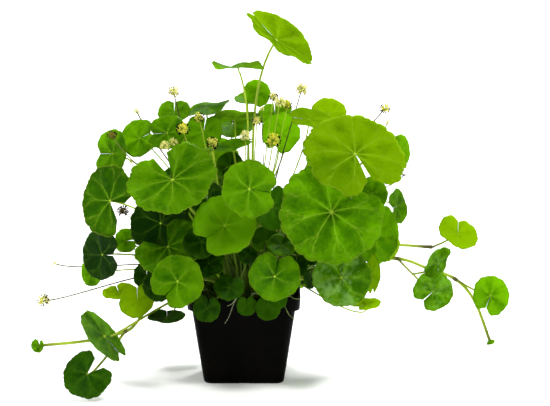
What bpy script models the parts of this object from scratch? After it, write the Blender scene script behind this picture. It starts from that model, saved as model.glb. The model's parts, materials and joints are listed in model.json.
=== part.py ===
"""Brazilian pennywort in its square nursery pot, built piece by piece in Blender.

The tables give millimetres and degrees. The origin is under the middle of the pot, on the surface
that it stands on; +Z is up and -Y is the side that the plant shows to the front.

A blade's place is written as it shows from the front: how far right of the pot's axis, how far above
the pot's front foot, and how deep it sits (below zero is nearer than the axis). The blades and stalks
are then eased apart until none touches another, each blade moving mostly along the line of sight.
"""

import math

import bmesh
import bpy
import numpy as np

MM = 0.001

# The line of sight that the tables are written along
SIGHT_TILT = math.radians(8)
SIGHT_LENGTH = 2000.0
SIGHT_AIM = np.array((24.2, 0.0, 137.6))
SIGHT_MIDDLE = (24.2, 141.4)
AHEAD = np.array((0.0, math.cos(SIGHT_TILT), -math.sin(SIGHT_TILT)))
LIFT = np.array((0.0, math.sin(SIGHT_TILT), math.cos(SIGHT_TILT)))
RIGHT = np.array((1.0, 0.0, 0.0))
UP = np.array((0.0, 0.0, 1.0))

# Pot and compost
POT_HEIGHT = 70.0
POT_FOOT = 62.0
POT_NECK = 80.0
POT_LIP = 88.0
LIP_DEPTH = 11.0
POT_WALL = 1.3
POT_FLOOR = 1.6
CORNER = 7.0
COMPOST_TOP = 60.0
GAP = 0.3
FOOT_HEIGHT = COMPOST_TOP + 0.7
HOLE_RADIUS = 4.0
HOLE_OUT = 17.0
NOTCH_WIDTH = 8.0
NOTCH_HEIGHT = 1.6

# Green parts
BLADE_THICK = 0.8
PETIOLE_RADIUS = 0.75
STALK_RADIUS = 0.55
HUB_TO_PETIOLE = 2.5
PETIOLE_DEEP = 0.3
STEM_RADIUS = 1.3
STALK_STEPS = 4
STALK_SIDES = 3
STEM_SIDES = 6

# Leaves: node, across, up, depth, radius, turn, tilt, notch, gape.
# turn is how far the face looks to the right, tilt how far it looks up, notch the way that the slit
# runs as seen, anticlockwise from the right, and gape how wide it opens. The first row of a node has
# its foot in the compost, and the others fork from its stalk.
LEAVES = [
    ("leaf_top", 25.5, 269, 0, 33, 66, 50, 139, 10),
    ("leaf_top_flat", -6, 246, 2, 20, 0, 96, 270, 10),
    ("leaves_crown", 8, 228, 28, 11, 10, 20, 250, 12),
    ("leaves_crown", 4, 222, 38, 11, 0, 72, 90, 12),
    ("leaves_crown", 24, 212, 48, 14, -30, 52, 90, 12),
    ("leaves_crown", 29, 196, 10, 16, -22, 8, 250, 2),
    ("leaves_crown", -9, 203, 30, 17, 8, 60, 80, 10),
    ("leaf_crown_left", -26, 215, 12, 19, -63, 72, 30, 8),
    ("leaf_crown_turned", -8, 207, 8, 20, 10, 112, 270, 8),
    ("leaf_crown_slanted", -7, 189, -18, 19, -68, 76, 0, 8),
    ("leaf_shoulder_left", -33, 201, 0, 15, -10, 28, 80, 8),
    ("leaves_shoulder_left", -82, 192, -18, 15.5, -24, 22, 20, 2),
    ("leaves_shoulder_left", -60, 196, -26, 16, -15, 38, 185, 2),
    ("leaves_shoulder_left", -53, 208, 14, 13, -10, 50, 90, 10),
    ("leaf_heart", -56, 160, -78, 36, -15, 46, 120, 26),
    ("leaf_side_left_upper", -103, 180, -12, 19, -46, 12, 180, 2),
    ("leaf_side_left_middle", -105, 143, -30, 28, -40, 10, -38, 48),
    ("leaf_side_left_lower", -111, 101, -28, 20, -40, 2, 0, 10),
    ("leaves_side_left_small", -119, 87, -10, 11, -40, 5, 90, 10),
    ("leaves_side_left_small", -92, 112, -15, 10, -20, 20, 0, 10),
    ("leaf_shade_left", -65, 125, -50, 25, -20, 35, 60, 8),
    ("leaf_left_lower", -60, 109, -66, 27, -10, 42, 138, 74),
    ("leaf_left_inner", -33, 110, -78, 15, -5, 35, 90, 2),
    ("leaf_front_left", -52, 80, -92, 21, -8, 12, -130, 7),
    ("leaf_front_upper", 4, 152, -108, 23, 18, 12, -10, 8),
    ("leaf_front_middle", -15, 124, -90, 25, -5, 25, -144, 2),
    ("leaf_shade_middle", -29, 145, -62, 14, 0, 20, 90, 10),
    ("leaf_inner_right", 22, 138, -70, 18, 20, 15, 100, 8),
    ("leaf_front_large", 68.5, 134.5, -98, 41.5, 8, 10, 34, 1),
    ("leaf_shoulder_right_large", 87, 180, -92, 41, 15, 47, -62, 18),
    ("leaf_shoulder_right_back", 66, 211, -10, 14, 0, 35, 270, 2),
    ("leaf_crown_right", 51, 207, -30, 17, 10, 70, 180, 2),
    ("leaf_side_right_upper", 122, 183, -30, 12, 50, 10, 180, 2),
    ("leaves_side_right_small", 100, 149, -72, 13, 20, 20, 270, 2),
    ("leaves_side_right_small", 112, 129, -48, 14, 60, 10, 200, 2),
    ("leaf_side_right_middle", 107, 125, -52, 24, 34, 8, 200, 2),
    ("leaf_side_right_turned", 111, 109, -49, 14, 150, -10, 200, 2),
    ("leaf_front_right", 76, 83, -84, 23.5, 8, 18, 95, 1),
    ("leaves_side_right_low", 98, 86, -72, 16, 66, 2, 270, 2),
    ("leaves_side_right_low", 96, 62, -55, 11, -25, 72, 200, 2),
    ("leaf_front_lower", 24, 84, -98, 20.5, 2, 28, 78, 14),
    ("leaves_rim_left", -29, 59, -66, 11, -8, 10, 80, 12),
    ("leaves_rim_left", -12, 76, -72, 12, 0, 38, 70, 12),
    ("leaves_rim_left", -23, 89, -62, 10, -10, 20, 90, 12),
    ("leaves_rim_right", 20, 61, -62, 10, 5, 15, 100, 8),
    ("leaves_rim_right", 25, 65, -68, 8, 10, 25, 80, 8),
    ("leaves_rim_right", 2, 61, -60, 8, 0, 15, 90, 8),
    ("leaves_shade_right", 39, 110, -62, 9, 10, 20, 90, 12),
    ("leaves_shade_right", 41, 93, -68, 9, 0, 20, 90, 12),
    ("leaves_shade_right", 52, 99, -64, 7, 20, 20, 90, 14),
    ("leaves_shade_right", 51, 82, -72, 8, 50, 10, 90, 14),
    ("leaves_shade_middle", -27, 94, -76, 14, -10, 45, 0, 6),
    ("leaves_shade_middle", 3, 101, -58, 8, 0, 20, 90, 12),
    ("leaves_shade_left", -76, 85, -48, 11, -15, 20, 90, 10),
    ("leaves_shade_left", -66, 77, -60, 13, -10, 10, 90, 10),
    ("leaves_shade_left", -61, 53, -68, 15, -10, 78, 90, 2),
    ("leaf_trailing_left_upper", -109, 37.5, -98, 25, 8, 12, -50, 2),
    ("leaf_trailing_left_lower", -122.5, 8, -92, 20, -8, 28, 42, 44),
    ("leaves_pale_left", -83, 61, -58, 15, -20, 30, 90, 2),
    ("leaves_pale_left", -98, 72, -28, 13, -20, 70, 120, 8),
    ("leaf_trailing_right_upper", 167, 118, -14, 16.5, 30, 45, 85, 3),
    ("leaves_trailing_right", 147, 73, -64, 16, -5, 25, -138, 8),
    ("leaves_trailing_right", 153, 94, -58, 14, -60, 35, -100, 2),
    ("leaf_trailing_right_end", 192.5, 69, -54, 16, 22, 15, -115, 2),
    ("leaves_back_left", -57, 148, 62, 24, -140, 30, 90, 8),
    ("leaves_back_left", -64, 117, 74, 21, -140, 12, 270, 8),
    ("leaves_back_middle", -30, 175, 60, 26, -170, 40, 90, 8),
    ("leaves_back_middle", 5, 135, 85, 28, 180, 20, 60, 8),
    ("leaves_back_right", 68, 165, 50, 24, 140, 35, 100, 8),
    ("leaves_back_right", 70, 125, 85, 27, 155, 15, 200, 8),
    ("leaves_back_low", -30, 92, 95, 22, -170, 8, 270, 10),
    ("leaves_back_low", 35, 95, 95, 24, 170, 8, 0, 10),
]
# How a blade differs from the rest, by node: dish lifts its margin, sway waves it, and fold bends its
# two halves up along its slit by so many degrees
HABIT = {
    "leaf_top": dict(dish=0.05, sway=0.05, fold=8),
    "leaf_top_flat": dict(dish=0.08, sway=-0.16),
    "leaf_crown_left": dict(dish=-0.06, sway=0.08),
    "leaf_shoulder_right_large": dict(dish=-0.05, sway=0.05),
    "leaf_front_large": dict(dish=0.04, sway=0.03),
    "leaves_trailing_right": dict(dish=0.0, sway=0.07, fold=8),
    "leaf_trailing_left_upper": dict(dish=-0.04, sway=0.03, fold=-66),
    "leaf_trailing_left_lower": dict(fold=-12),
}
PLAIN_HABIT = dict(dish=0.07, sway=0.04, fold=0.0)

# Flowers: node, across, up, depth, head radius
FLOWERS = [
    ("flowers_left", -84, 213, 0, 2.8),
    ("flowers_left", -55, 228, -4, 4.3),
    ("flowers_shoulder", -48, 199, -42, 5.0),
    ("flowers_shoulder", -35, 208, -16, 4.0),
    ("flowers_shoulder", -25, 188, -44, 4.6),
    ("flowers_middle", 0, 194, -36, 4.0),
    ("flowers_middle", 10, 205, -22, 3.6),
    ("flowers_middle", 23, 190, -46, 5.4),
    ("flowers_crown", 23, 224, -8, 3.6),
    ("flowers_crown", 28, 220, -16, 4.2),
    ("flowers_crown", 34, 218, -6, 3.8),
    ("flower_tall", 45, 230, 0, 4.6),
    ("flower_right", 110, 215, -40, 3.9),
    ("flower_left_long", -156.5, 65, -60, 4.7),
    ("flower_left_small", -148, 94, 16, 2.4),
]

# Stems that leave the pot: points across, up, depth, from the compost outwards
STEMS = {
    "stem_left": [
        (-28, 60, -16), (-28, 66, -16), (-37, 79, -20), (-54, 79, -28), (-72, 64, -34), (-84, 48, -46),
        (-93, 41, -60), (-121, 34, -68), (-160, 30, -75),
    ],
    "stem_right_upper": [
        (31, 60, -6), (31, 66, -6), (39, 81, -6), (56, 95, -7), (80, 104, -10), (106, 109, -14),
        (147, 107, -18),
    ],
    "stem_right_lower": [
        (30, 60, -19), (30, 66, -19), (38, 79, -20), (55, 89, -22), (85, 96, -28), (120, 98, -34),
        (142, 91, -38), (165, 82, -40), (180, 65, -42), (192, 34, -45),
    ],
}
# Leaves that grow from a stem instead of the compost: which stem, and at which of its points
GROWS_FROM = {
    "leaf_trailing_left_lower": ("stem_left", 6),
    "leaf_trailing_right_upper": ("stem_right_upper", 6),
    "leaves_trailing_right": ("stem_right_lower", 5),
    "leaf_trailing_right_end": ("stem_right_lower", 7),
}
# Young leaf at a stem's tip: stem, radius, turn, tilt
TIPS = [("stem_left", 5.5, -20, 10), ("stem_right_lower", 3.6, 20, -40)]


def place(across, up, depth):
    """The point at this depth that shows at (across, up) from the front."""
    eye = SIGHT_AIM - SIGHT_LENGTH * AHEAD
    ray = SIGHT_LENGTH * AHEAD + (across - SIGHT_MIDDLE[0]) * RIGHT + (up - SIGHT_MIDDLE[1]) * LIFT
    return eye + ray * (depth - eye[1]) / ray[1]


def facing(turn, tilt):
    turn, tilt = math.radians(turn), math.radians(tilt)
    return np.array(
        (math.sin(turn) * math.cos(tilt), -math.cos(turn) * math.cos(tilt), math.sin(tilt))
    )


def slit_direction(normal, notch):
    """The direction in the blade that shows at the angle notch from the front."""
    seen = math.cos(math.radians(notch)) * RIGHT + math.sin(math.radians(notch)) * LIFT
    along = AHEAD @ normal
    if abs(along) > 0.25:
        seen = seen - AHEAD * (seen @ normal) / along
    seen = seen - normal * (seen @ normal)
    return seen / np.linalg.norm(seen)


def margin(angle, half_gape, radius, lobes):
    """How far the blade's edge is from its hub, at an angle from the middle of its slit."""
    angle = np.mod(angle, math.tau)
    side = np.minimum(angle, math.tau - angle)
    rounded = 1 - 0.28 * np.exp(-(((side - half_gape) / 0.25) ** 2))
    round_trip = (angle - half_gape) / (math.tau - 2 * half_gape)
    return radius * rounded * (1 - 0.025 * np.cos(round_trip * lobes * math.tau))


def relief(angle, rho, radius, dish, sway, fold, phase):
    """How far the blade stands off its plane: dished, waved, and folded along its slit."""
    waves = dish + sway * np.sin(3 * angle + phase)
    return radius * (waves * rho**2 + np.sin(fold) * rho * np.abs(np.sin(angle)))


class Leaf:
    def __init__(self, row, number):
        self.node, across, up, depth, radius, turn, tilt, notch, gape = row
        self.hub = place(across, up, depth)
        self.radius = radius * (1 + depth / SIGHT_LENGTH)
        self.normal = facing(turn, tilt)
        self.slit = slit_direction(self.normal, notch)
        self.half_gape = math.radians(gape) / 2
        self.lobes = 8 if radius > 28 else 6 if radius > 22 else 5 if radius > 11 else 4
        self.phase = 2.4 * number
        habit = {**PLAIN_HABIT, **HABIT.get(self.node, {})}
        self.dish, self.sway, self.fold = habit["dish"], habit["sway"], math.radians(habit["fold"])

    def axes(self):
        return np.array((self.slit, np.cross(self.normal, self.slit), self.normal))

    def local(self, angle, rho):
        """Points of the blade's middle surface, from its hub along its own axes."""
        reach = margin(angle, self.half_gape, self.radius, self.lobes) * rho
        lift = relief(angle, rho, self.radius, self.dish, self.sway, self.fold, self.phase)
        beside = reach * np.sin(angle) * np.cos(self.fold)
        return np.stack((reach * np.cos(angle), beside, lift), axis=-1)

    def surface(self, angle, rho):
        return self.hub + self.local(angle, rho) @ self.axes()


class Flower:
    def __init__(self, row):
        self.node, across, up, depth, self.radius = row
        self.hub = place(across, up, depth)
        outward = self.hub * (1, 1, 0) / 160
        lean = outward + UP * max(1 - np.linalg.norm(outward) ** 6, 0)
        self.normal = lean / np.linalg.norm(lean)


def bernstein(t):
    t = np.asarray(t, dtype=float)
    return np.stack(((1 - t) ** 3, 3 * (1 - t) ** 2 * t, 3 * (1 - t) * t**2, t**3), axis=-1)


def stem_path(name):
    path = np.array([place(*point) for point in STEMS[name]])
    path[0] = (path[0][0], path[0][1], FOOT_HEIGHT)
    path[1] = path[0] + UP * 6
    return path


# How the canopy is eased apart
BLADE_CLEAR = BLADE_THICK + 1.0
STALK_CLEAR = BLADE_THICK / 2 + PETIOLE_RADIUS + 0.7
STALKS_APART = 0.7
FOOT_APART = 3.6
FOOT_REACH = 33.0
ROUNDS = 170
FORK = 0.3
STEP_MOST = 2.5
PER_STEP = 4
SAMPLES = PER_STEP * STALK_STEPS + 1
KNOTS = bernstein(np.linspace(0, 1, STALK_STEPS + 1))
ALONG = np.array(
    [[max(0.0, 1 - abs(s / PER_STEP - k)) for k in range(STALK_STEPS + 1)] for s in range(SAMPLES)]
)
WEIGHTS = ALONG @ KNOTS


class Canopy:
    """All blades and stalks as arrays in millimetres, so that they are eased apart together."""

    def __init__(self):
        self.leaves = [Leaf(row, number) for number, row in enumerate(LEAVES)]
        self.flowers = [Flower(row) for row in FLOWERS]
        self.growths = self.leaves + self.flowers
        self.count = len(self.leaves)
        self.stems = {name: stem_path(name) for name in STEMS}
        nodes = [growth.node for growth in self.growths]
        self.group = np.array([nodes.index(node) for node in nodes])
        self.hub = np.array([growth.hub for growth in self.growths])
        self.normal = np.array([growth.normal for growth in self.growths])
        self.axes = np.array([leaf.axes() for leaf in self.leaves])
        self.shape = {
            key: np.array([getattr(leaf, key) for leaf in self.leaves])
            for key in ("half_gape", "radius", "lobes", "dish", "sway", "fold", "phase")
        }
        rings = [(0.0, 1), (0.4, 7), (0.75, 12), (1.0, 20)]
        self.spots = np.array(
            [
                np.vstack(
                    [
                        leaf.local(
                            np.linspace(leaf.half_gape, math.tau - leaf.half_gape, n), np.full(n, rho)
                        )
                        for rho, n in rings
                    ]
                )
                for leaf in self.leaves
            ]
        )
        self.set_feet()
        self.bend = np.zeros((len(self.growths), 2, 3))

    def set_feet(self):
        """Feet stand on the compost, high leaves near its middle, or on the stem that bears the leaf."""
        self.foot = np.zeros_like(self.hub)
        self.forked = self.group != np.arange(len(self.growths))
        self.rooted = ~self.forked
        self.start = np.tile(UP, (len(self.growths), 1))
        for i, growth in enumerate(self.growths):
            hub = self.hub[self.group == self.group[i]].mean(axis=0)
            flat = math.hypot(hub[0], hub[1])
            out = min(31 - 22 * min(max((hub[2] - 80) / 160, 0), 1), flat)
            self.foot[i] = (hub[0] / flat * out, hub[1] / flat * out, FOOT_HEIGHT)
            if growth.node in GROWS_FROM:
                self.foot[i], self.start[i] = self.joint(growth)
                self.rooted[i] = False
        length = np.linalg.norm(self.hub - self.foot, axis=1)
        self.rise = np.where(self.rooted, np.maximum(0.38 * length, 26), 0.3 * length)
        self.reach = 0.27 * length
        self.rise[self.forked] *= 0.6

    def joint(self, growth):
        """Where a leaf's stalk begins just clear of the stem that bears it, and which way it sets off."""
        name, point = GROWS_FROM[growth.node]
        path = self.stems[name]
        way = growth.hub - growth.normal * 0.3 * np.linalg.norm(growth.hub - path[point]) - path[point]
        way /= np.linalg.norm(way)
        away = STEM_RADIUS + PETIOLE_RADIUS + 2 * GAP
        for other in path[max(point - 1, 0) : point + 2 : 2]:
            along = (other - path[point]) / np.linalg.norm(other - path[point])
            if way @ along > 0:
                away = max(away, (STEM_RADIUS + PETIOLE_RADIUS + GAP) / math.sqrt(1 - (way @ along) ** 2))
        return path[point] + way * min(away, 8), way

    def set_forks(self):
        """A stalk that forks from its node's first stalk begins on that stalk, and heads for its hub."""
        leader = self.group[self.forked]
        at = self.controls()[leader]
        self.foot[self.forked] = np.einsum("c,mcx->mx", bernstein(FORK), at)
        way = self.hub - self.normal * self.reach[:, None] - self.foot
        way /= np.linalg.norm(way, axis=1, keepdims=True)
        self.start[self.forked] = way[self.forked]

    def controls(self):
        after = self.foot + self.start * self.rise[:, None] + self.bend[:, 0]
        before = self.hub - self.normal * self.reach[:, None] + self.bend[:, 1]
        return np.stack((self.foot, after, before, self.hub), axis=1)

    def heights(self, points):
        """Where each point lies for each blade: height over it, share of the way to its edge, and axes."""
        near = np.einsum("qnk,nak->qna", points[:, None] - self.hub[None, : self.count], self.axes)
        s = self.shape
        angle = np.arctan2(near[..., 1] / np.cos(s["fold"]), near[..., 0])
        edge = margin(angle, s["half_gape"], s["radius"], s["lobes"])
        far = np.hypot(near[..., 0], near[..., 1])
        rho = far / edge
        height = near[..., 2] - relief(
            np.mod(angle, math.tau), rho, s["radius"], s["dish"], s["sway"], s["fold"], s["phase"]
        )
        return height, far, edge, near

    def part_blades(self, move):
        count = self.count
        spots = self.hub[:count, None] + np.einsum("nka,nab->nkb", self.spots, self.axes)
        each = spots.shape[1]
        height, far, edge, _ = self.heights(spots.reshape(-1, 3))
        height = height.reshape(count, each, count)
        inside = (far < edge + 1.2).reshape(count, each, count)
        side = np.where((height * inside).sum(axis=1) >= 0, 1.0, -1.0)
        short = np.where(inside, BLADE_CLEAR - side[:, None] * height, -1.0).max(axis=1)
        for i, j in zip(*np.nonzero(np.tril((short > 0) & (short.T > 0), -1))):
            a, b = (i, j) if short[i, j] <= short[j, i] else (j, i)
            normal = self.axes[b, 2]
            push = 0.3 * normal + 0.7 * AHEAD * (AHEAD @ normal)
            push = push / (push @ normal) * side[a, b] * min(short[a, b], STEP_MOST) * 0.3
            move[a] += push
            move[b] -= push

    def sample(self):
        return np.einsum("sc,mcx->msx", WEIGHTS, self.controls())

    def shift_stalk(self, stalk, spot, push):
        first, second = WEIGHTS[spot, 1], WEIGHTS[spot, 2]
        scale = 1 / (first**2 + second**2 + 0.12)
        self.bend[stalk, 0] += push * first * scale
        self.bend[stalk, 1] += push * second * scale

    def part_stalks_from_blades(self, move):
        samples = self.sample()
        stalks = len(samples)
        runs = list(samples) + list(self.stems.values())
        points = np.vstack(runs)
        begins = np.cumsum([0] + [len(run) for run in runs[:-1]])
        height, far, edge, near = self.heights(points)
        size = np.full(len(points), STALK_CLEAR)
        for k, flower in enumerate(self.flowers):
            size[(self.count + k + 1) * SAMPLES - 1] = flower.radius + 1.0
        size[stalks * SAMPLES :] = STEM_RADIUS + BLADE_THICK / 2 + 0.6
        over = far < edge + size[:, None]
        close = np.where(over, size[:, None] - np.abs(height), -1.0)
        flip = (height[:-1] * height[1:] < 0) & over[:-1] & over[1:]
        flip[begins[1:] - 1] = False
        crossed = np.zeros_like(over)
        crossed[:-1] |= flip
        crossed[1:] |= flip
        touching = (np.maximum.reduceat(close, begins, axis=0) > 0) | np.logical_or.reduceat(
            crossed, begins, axis=0
        )
        np.fill_diagonal(touching[: self.count], False)
        for run, j in zip(*np.nonzero(touching)):
            spots = slice(begins[run], begins[run] + len(runs[run]))
            normal = self.axes[j, 2]
            passing = np.flatnonzero(crossed[spots, j])
            if len(passing):
                passing += begins[run]
                q = passing[np.argmax(far[passing, j] / edge[passing, j])]
            else:
                q = begins[run] + int(np.argmax(close[spots, j]))
            outward = near[q, j, 0] * self.axes[j, 0] + near[q, j, 1] * self.axes[j, 1]
            outward = outward / max(far[q, j], 0.1)
            out = edge[q, j] + size[q] - far[q, j]
            if len(passing) or out < close[q, j]:
                push = outward * min(out, STEP_MOST)
            else:
                push = normal * math.copysign(min(close[q, j], STEP_MOST), height[q, j])
            if run < stalks:
                spot = q - begins[run]
                self.shift_stalk(run, spot, push * 0.7)
                if spot > SAMPLES - 5:
                    move[run] += push * 0.2
                move[j] -= push * 0.15
            else:
                move[j] -= push * 0.6

    def part_stalks(self, move):
        samples = self.sample()
        stalks = len(samples)
        knots = samples[:, ::PER_STEP]
        starts = knots[:, :-1].reshape(-1, 3)
        ends = knots[:, 1:].reshape(-1, 3)
        owner = np.repeat(np.arange(stalks), STALK_STEPS)
        family = self.group[owner]
        thick = np.full(len(starts), PETIOLE_RADIUS)
        for number, path in enumerate(self.stems.values()):
            starts = np.vstack((starts, path[:-1]))
            ends = np.vstack((ends, path[1:]))
            owner = np.append(owner, np.full(len(path) - 1, -1 - number))
            family = np.append(family, np.full(len(path) - 1, -1 - number))
            thick = np.append(thick, np.full(len(path) - 1, STEM_RADIUS))
        first, second, gap, s, t = closest_pairs(starts, ends)
        need = thick[first] + thick[second] + STALKS_APART
        bad = (gap < need) & (family[first] != family[second])
        for a, b, share_a, share_b in zip(first[bad], second[bad], s[bad], t[bad]):
            here = starts[a] + (ends[a] - starts[a]) * share_a
            there = starts[b] + (ends[b] - starts[b]) * share_b
            between = here - there
            size = np.linalg.norm(between)
            way = between / size if size > 0.05 else np.cross(ends[a] - starts[a], ends[b] - starts[b])
            way = way / max(np.linalg.norm(way), 1e-6)
            push = way * min(thick[a] + thick[b] + STALKS_APART - size, STEP_MOST) * 0.5
            for which, share, sign in ((a, share_a, 1), (b, share_b, -1)):
                if owner[which] < 0:
                    continue
                stalk = owner[which]
                spot = int(round((which - stalk * STALK_STEPS + share) * PER_STEP))
                if self.grows_on(stalk, owner[a + b - which]) and spot < 8:
                    continue
                self.shift_stalk(stalk, min(spot, SAMPLES - 1), sign * push)
                if spot < 5 and self.rooted[stalk]:
                    self.foot_move[stalk] += sign * push * (1, 1, 0) * 0.5
                if spot > SAMPLES - 4:
                    move[stalk] += sign * push * 0.5

    def grows_on(self, stalk, other):
        node = self.growths[stalk].node
        return other < 0 and node in GROWS_FROM and list(STEMS)[-1 - other] == GROWS_FROM[node][0]

    def spread_feet(self):
        """Feet keep apart on the compost."""
        between = self.foot[:, None] - self.foot[None]
        size = np.maximum(np.linalg.norm(between, axis=-1), 0.1)
        apart = self.rooted[:, None] & self.rooted & ~np.eye(len(size), dtype=bool)
        push = np.where(apart, np.maximum(FOOT_APART - size, 0), 0) * 0.4
        self.foot_move += (between / size[..., None] * push[..., None]).sum(axis=1)
        feet = self.foot + self.foot_move
        feet[:, :2] = np.where(self.rooted[:, None], np.clip(feet[:, :2], -FOOT_REACH, FOOT_REACH),
                               feet[:, :2])
        feet[:, 2] = self.foot[:, 2]
        self.foot = np.where(self.rooted[:, None], feet, self.foot)

    def clear_pot(self, move):
        """Stalks pass over the lip, blades stay outside the pot and above the surface it stands on."""
        samples = self.sample()
        wide = np.abs(samples[..., :2]).max(axis=-1)
        low = POT_HEIGHT + 2.0 - samples[..., 2]
        over_lip = (wide > POT_NECK / 2 - 4) & (wide < POT_LIP / 2 + 2) & (low > 0)
        for stalk in range(len(samples)):
            spots = np.flatnonzero(over_lip[stalk])
            if len(spots):
                worst = spots[np.argmax(low[stalk, spots])]
                self.shift_stalk(stalk, worst, UP * min(low[stalk, worst], STEP_MOST))
        spots = self.hub[: self.count, None] + np.einsum("nka,nab->nkb", self.spots, self.axes)
        box = POT_LIP / 2 + 1.5
        flat = np.abs(spots[..., :2])
        within = (flat.max(axis=-1) < box) & (spots[..., 2] < POT_HEIGHT + 1.5)
        for i in range(self.count):
            if within[i].any():
                inward = box - np.abs(spots[i, within[i], 1]).min()
                rise = POT_HEIGHT + 1.5 - spots[i, within[i], 2].min()
                if rise < inward:
                    move[i] += UP * min(rise, STEP_MOST) * 0.6
                else:
                    move[i, 1] += math.copysign(min(inward, STEP_MOST), self.hub[i, 1]) * 0.6
            floor = 0.6 - spots[i, :, 2].min()
            if floor > 0:
                move[i, 2] += floor

    def settle(self):
        for _ in range(ROUNDS):
            self.set_forks()
            move = np.zeros_like(self.hub)
            self.foot_move = np.zeros_like(self.foot)
            self.part_blades(move)
            self.part_stalks_from_blades(move)
            self.part_stalks(move)
            self.clear_pot(move)
            self.spread_feet()
            size = np.linalg.norm(move, axis=1, keepdims=True)
            move *= np.minimum(1, STEP_MOST / np.maximum(size, 1e-9))
            self.hub += move
            self.hub = np.round(self.hub, 3)
            self.foot = np.round(self.foot, 3)
            self.bend = np.round(self.bend * 0.998, 3)
        self.set_forks()
        for growth, hub in zip(self.growths, self.hub):
            growth.hub = hub


def closest_pairs(starts, ends):
    """For segments that come near each other: index pairs, their gap, and where on each it is."""
    way = ends - starts
    middle = (starts + ends) / 2
    half = np.linalg.norm(way, axis=1) / 2
    apart = np.sqrt(np.maximum(((middle[:, None] - middle[None]) ** 2).sum(axis=-1), 0))
    first, second = np.nonzero(np.triu(apart < half[:, None] + half + 4, 1))
    a, b, rel = way[first], way[second], starts[first] - starts[second]
    aa, bb, ab = (a * a).sum(axis=1), (b * b).sum(axis=1), (a * b).sum(axis=1)
    ar, br = (a * rel).sum(axis=1), (b * rel).sum(axis=1)
    s = np.clip((ab * br - ar * bb) / np.maximum(aa * bb - ab**2, 1e-9), 0, 1)
    t = np.clip((ab * s + br) / bb, 0, 1)
    s = np.clip((ab * t - ar) / aa, 0, 1)
    gap = np.linalg.norm(rel + s[:, None] * a - t[:, None] * b, axis=1)
    return first, second, gap, s, t


def collection(name):
    made = bpy.data.collections.new(name)
    bpy.context.scene.collection.children.link(made)
    return made


def material(name, colour, roughness, metallic=0.0):
    made = bpy.data.materials.new(name)
    made.use_nodes = True
    shader = made.node_tree.nodes["Principled BSDF"]
    shader.inputs["Base Color"].default_value = (*colour, 1)
    shader.inputs["Roughness"].default_value = roughness
    shader.inputs["Metallic"].default_value = metallic
    return made


def mesh_object(name, bm, where, finish=None, smooth=True):
    mesh = bpy.data.meshes.new(name)
    bm.normal_update()
    bm.to_mesh(mesh)
    bm.free()
    if smooth:
        mesh.shade_smooth()
        mesh.set_sharp_from_angle(angle=math.radians(50))
    made = bpy.data.objects.new(name, mesh)
    where.objects.link(made)
    if finish:
        mesh.materials.append(finish)
    return made


def helper(thing):
    thing.hide_render = True
    thing.display_type = "WIRE"
    return thing


def boolean(thing, other, operation):
    cut = thing.modifiers.new(operation.lower(), "BOOLEAN")
    cut.operation = operation
    cut.object = other
    cut.solver = "EXACT"


def square_block(name, where, bottom, top, low, high, corner, finish=None):
    """A block that widens from bottom to top, its upright edges rounded."""
    bm = bmesh.new()
    bmesh.ops.create_cube(bm, size=1.0)
    for vert in bm.verts:
        wide, level = (top, high) if vert.co.z > 0 else (bottom, low)
        vert.co.x *= wide * MM
        vert.co.y *= wide * MM
        vert.co.z = level * MM
    upright = [edge for edge in bm.edges if abs(edge.verts[0].co.z - edge.verts[1].co.z) > 1e-6]
    bmesh.ops.bevel(bm, geom=upright, offset=corner * MM, segments=3, profile=0.5, affect="EDGES")
    return mesh_object(name, bm, where, finish)


def wall_width(level):
    return POT_FOOT + (POT_NECK - POT_FOOT) * level / (POT_HEIGHT - LIP_DEPTH)


def build_pot(parts, cutters, finish):
    pot = square_block(
        "pot", parts, POT_FOOT, wall_width(POT_HEIGHT - 1), 0, POT_HEIGHT - 1, CORNER, finish
    )
    foot = pot.modifiers.new("rounded_foot", "BEVEL")
    foot.width = 1.2 * MM
    foot.segments = 1
    foot.limit_method = "ANGLE"
    foot.angle_limit = math.radians(60)
    lip = square_block(
        "pot_lip", cutters, POT_LIP - 1, POT_LIP, POT_HEIGHT - LIP_DEPTH, POT_HEIGHT, CORNER + 3
    )
    boolean(pot, helper(lip), "UNION")
    inner = 2 * POT_WALL
    top = POT_HEIGHT + 2
    hollow = square_block(
        "pot_hollow", cutters, wall_width(POT_FLOOR) - inner, wall_width(top) - inner, POT_FLOOR, top,
        CORNER - POT_WALL,
    )
    boolean(pot, helper(hollow), "DIFFERENCE")
    for x in (-HOLE_OUT, HOLE_OUT):
        for y in (-HOLE_OUT, HOLE_OUT):
            bm = bmesh.new()
            bmesh.ops.create_cone(
                bm, cap_ends=True, segments=6, radius1=HOLE_RADIUS * MM, radius2=HOLE_RADIUS * MM,
                depth=3 * POT_FLOOR * MM,
            )
            hole = mesh_object(f"drain_hole_{x:+.0f}_{y:+.0f}", bm, cutters)
            hole.location = (x * MM, y * MM, 0)
            boolean(pot, helper(hole), "DIFFERENCE")
    for quarter in range(4):
        bm = bmesh.new()
        bmesh.ops.create_cube(bm, size=1.0)
        bmesh.ops.scale(bm, vec=(NOTCH_WIDTH * MM, 5 * MM, 2 * NOTCH_HEIGHT * MM), verts=bm.verts)
        notch = mesh_object(f"foot_notch_{quarter}", bm, cutters, smooth=False)
        way = quarter * math.pi / 2
        notch.location = (math.sin(way) * POT_FOOT / 2 * MM, math.cos(way) * POT_FOOT / 2 * MM, 0)
        notch.rotation_euler.z = -way
        boolean(pot, helper(notch), "DIFFERENCE")


def build_compost(parts, finish):
    inner = 2 * (POT_WALL + GAP)
    bottom = POT_FLOOR + GAP
    square_block(
        "compost", parts, wall_width(bottom) - inner, wall_width(COMPOST_TOP) - inner, bottom,
        COMPOST_TOP, CORNER - POT_WALL - GAP, finish,
    )


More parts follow.
